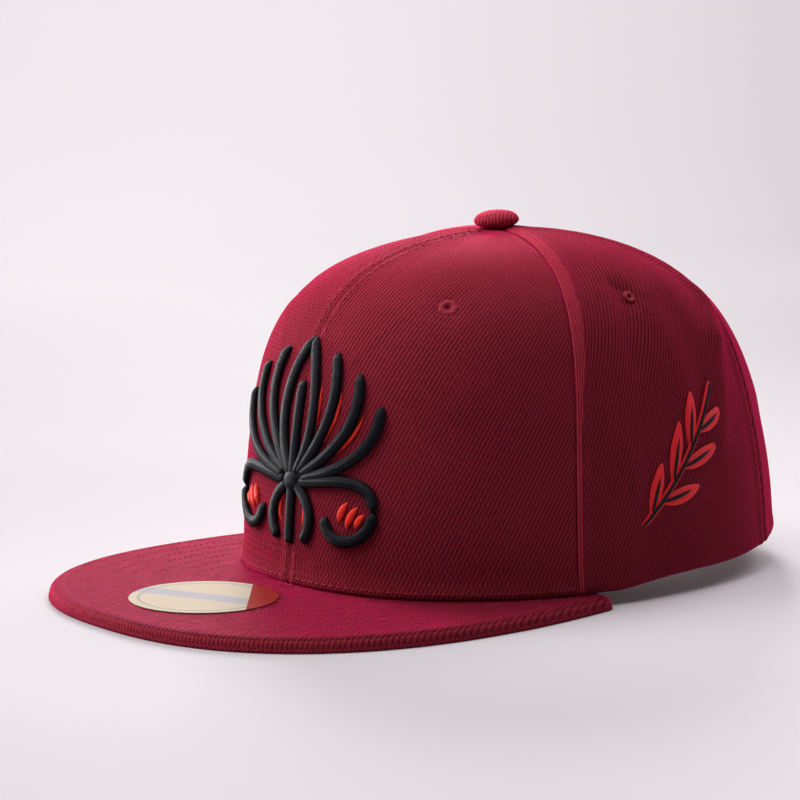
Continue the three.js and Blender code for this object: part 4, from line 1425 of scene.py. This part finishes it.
# Share of the way up the stem, side of it, and length
SPRIG_LEAVES = [(0.1, 1, 19), (0.2, -1, 21), (0.34, 1, 22),
                (0.45, -1, 22), (0.58, 1, 20), (0.69, -1, 18)]
LEAF_HALF_WIDTH, LEAF_HEIGHT, LEAF_SPREAD = 2.9, 1.0, 0.6
STEM_HALF_WIDTH, VEIN_HALF_WIDTH, VEIN_SHARE = 1.45, 0.7, 0.75
leaf_thread = thread_material("leaf_thread", (0.95, 0.022, 0.030), roughness=0.45, sheen=0.8,
                              thread_bump=0.8)
vein_thread = thread_material("vein_thread", (0.012, 0.010, 0.012), roughness=0.5, sheen=0.0,
                              thread_bump=0.6)


def leaf_line(along, side, length, share):
    """Points of a leaf's middle line, which leaves the stem at an angle and bends after it."""
    stem = bezier(SPRIG_STEM, 200)
    start, ahead = along_line(stem, [along, along + 0.01])
    heading = (ahead - start) / np.linalg.norm(ahead - start)
    turn = side * LEAF_SPREAD
    turned = np.array([heading[0] * math.cos(turn) - heading[1] * math.sin(turn),
                       heading[0] * math.sin(turn) + heading[1] * math.cos(turn)])
    middle = start + turned * length * share * 0.5
    tip = start + turned * length * share * 0.85 + heading * length * share * 0.15
    step = np.linspace(0, 1, 40)[:, None]
    return (1 - step) ** 2 * start + 2 * (1 - step) * step * middle + step ** 2 * tip


sprig, veins = Embroidery(), Embroidery()
sprig.bar("side", bezier(SPRIG_STEM), STEM_HALF_WIDTH, LEAF_HEIGHT, round_ends, lift=0.0)
veins.bar("side", bezier(SPRIG_STEM), VEIN_HALF_WIDTH, 0.7, round_ends, lift=0.75)
for along, side, length in SPRIG_LEAVES:
    sprig.bar("side", leaf_line(along, side, length, 1), LEAF_HALF_WIDTH, LEAF_HEIGHT, leaf_ends,
              lift=0.0, slant=0.9 * side)
    veins.bar("side", leaf_line(along, side, length, VEIN_SHARE), VEIN_HALF_WIDTH, 0.6, leaf_ends,
              lift=0.8)
dress(sprig.make("satin_sprig"), "red_thread", leaf_thread, "side_sprig")
dress(veins.make("satin_veins"), "black_thread", vein_thread, "side_sprig_veins")

# %% [markdown]
# ## The sticker
# A round sticker lies on the brim. It is thin and stiff, so its rim stands a hair above the
# cloth, with one pressed ring inside it. It is printed in cream with a grey band, and one end
# carries a painted reflection of the red crown. The print is matte, because a gloss seen this low
# would only mirror the lamp behind the cap.

# %% Press the sticker
STICKER_RADIUS, STICKER_AHEAD, PRESSED_RING = 24.8, 138.8, 21.6
STICKER_TOP, STICKER_SHEET, STICKER_LIFT, PRESSED_DEPTH = 0.30, 0.22, 0.08, 0.03
STICKER_PLACE = (0, -STICKER_AHEAD, BRIM_THICKNESS)


def build_sticker():
    """A thin turned disc with one pressed ring, waved a little as stiff paper on cloth is."""
    radii = np.r_[np.linspace(2, 20, 10), 20.9, 21.3, 21.6, 21.9, 22.3, 23.2, 24.2, 24.65,
                  STICKER_RADIUS]
    top = [(r, STICKER_TOP - PRESSED_DEPTH * math.exp(-((r - PRESSED_RING) / 0.3) ** 2))
           for r in radii]
    low = [(r, h - STICKER_SHEET) for r, h in top]
    profile = [(0.0, 0.08)] + low + top[::-1] + [(0.0, STICKER_TOP)]
    vertices, faces = lathe(profile, 160)
    wave = 0.02 * np.sin(vertices[:, 0] / 6.0 + 0.5) * np.cos(vertices[:, 1] / 7.5)
    vertices = vertices + np.stack([0 * wave, 0 * wave, wave + STICKER_LIFT], 1)
    made = new_mesh_object("foil_sticker", to_frame(vertices + STICKER_PLACE), faces)
    made.data.set_sharp_from_angle(angle=math.radians(40))
    return made


sticker = build_sticker()
print("sticker", [round(v * 1000, 1) for v in sticker.dimensions], "mm")

# %% Print the sticker, and paint the crown's reflection on one end
CREAM, GREY, RING_GREY, CROWN_REFLECTION_RED = (
    (0.34, 0.285, 0.215, 1), (0.25, 0.24, 0.25, 1), (0.22, 0.20, 0.18, 1), (0.187, 0.016, 0.013, 1))
# Half the width of the band and of the ring, and where the painted reflection of the crown starts,
# all in metres
BAND_HALF, RING_HALF, REFLECTION_START = 0.0042, 0.0005, 0.0152


def print_and_painted_reflection():
    """Plain printed areas and one painted reflection on a disc, each from a measured distance to
    the sticker's middle.
    """
    material, tree, shader = new_material("pale_foil")
    coordinates = tree.nodes.new("ShaderNodeTexCoord")
    place = coordinates.outputs["Object"]
    grain = noise_value(tree, place, 900, 4.0)
    from_middle = tree.nodes.new("ShaderNodeVectorMath")
    from_middle.operation = "SUBTRACT"
    tree.links.new(place, from_middle.inputs[0])
    from_middle.inputs[1].default_value = to_frame(STICKER_PLACE)

    def along_axis(direction):
        dot = tree.nodes.new("ShaderNodeVectorMath")
        dot.operation = "DOT_PRODUCT"
        tree.links.new(from_middle.outputs[0], dot.inputs[0])
        dot.inputs[1].default_value = direction
        return dot.outputs["Value"]

    band = math_node(tree, "ABSOLUTE", along_axis(-0.46 * LEFT + 0.89 * AWAY))
    on_band = math_node(tree, "LESS_THAN", band, BAND_HALF)
    paint = mix_colours(tree, on_band, CREAM, GREY)
    radius = tree.nodes.new("ShaderNodeVectorMath")
    radius.operation = "LENGTH"
    tree.links.new(from_middle.outputs[0], radius.inputs[0])
    from_ring = math_node(tree, "SUBTRACT", radius.outputs["Value"], PRESSED_RING * MM)
    on_ring = math_node(tree, "LESS_THAN", math_node(tree, "ABSOLUTE", from_ring), RING_HALF)
    paint = mix_colours(tree, on_ring, paint, RING_GREY)
    # The red end is a painted reflection of the red crown.
    on_reflection = math_node(tree, "GREATER_THAN", along_axis(-LEFT), REFLECTION_START)
    paint = mix_colours(tree, on_reflection, paint, CROWN_REFLECTION_RED)
    tree.links.new(paint, shader.inputs["Base Color"])
    tree.links.new(math_node(tree, "MULTIPLY_ADD", grain, 0.2, 0.5), shader.inputs["Roughness"])
    shader.inputs["Specular IOR Level"].default_value = 0.01
    add_bump(tree, shader, grain, 0.05, 0.0001)
    return material


dress(sticker, "pale_foil", print_and_painted_reflection(), "brim_sticker")
print(sticker.name, "is printed with", sticker.data.materials[0].name)

# %% [markdown]
# ## Let two of the left lights reach the cap alone
# Strong lamps on the left give the cloth its glow, but they would also throw long shadows across
# the paper. In a studio a white card on the right fills that shadow. Light linking does it in one
# step: two of the lamps on the left light only the pieces in one collection, and the paper is not
# among them. A weaker lamp on the left still lights the paper and the cap.

# %% Link two of the left lights to the cap
cap_pieces = bpy.data.collections.new("lit_from_the_left")
for piece in bpy.context.scene.objects:
    if piece.type == "MESH" and piece != floor:
        cap_pieces.objects.link(piece)
for name in ("left_cap_light", "back_left_light"):
    bpy.data.objects[name].light_linking.receiver_collection = cap_pieces
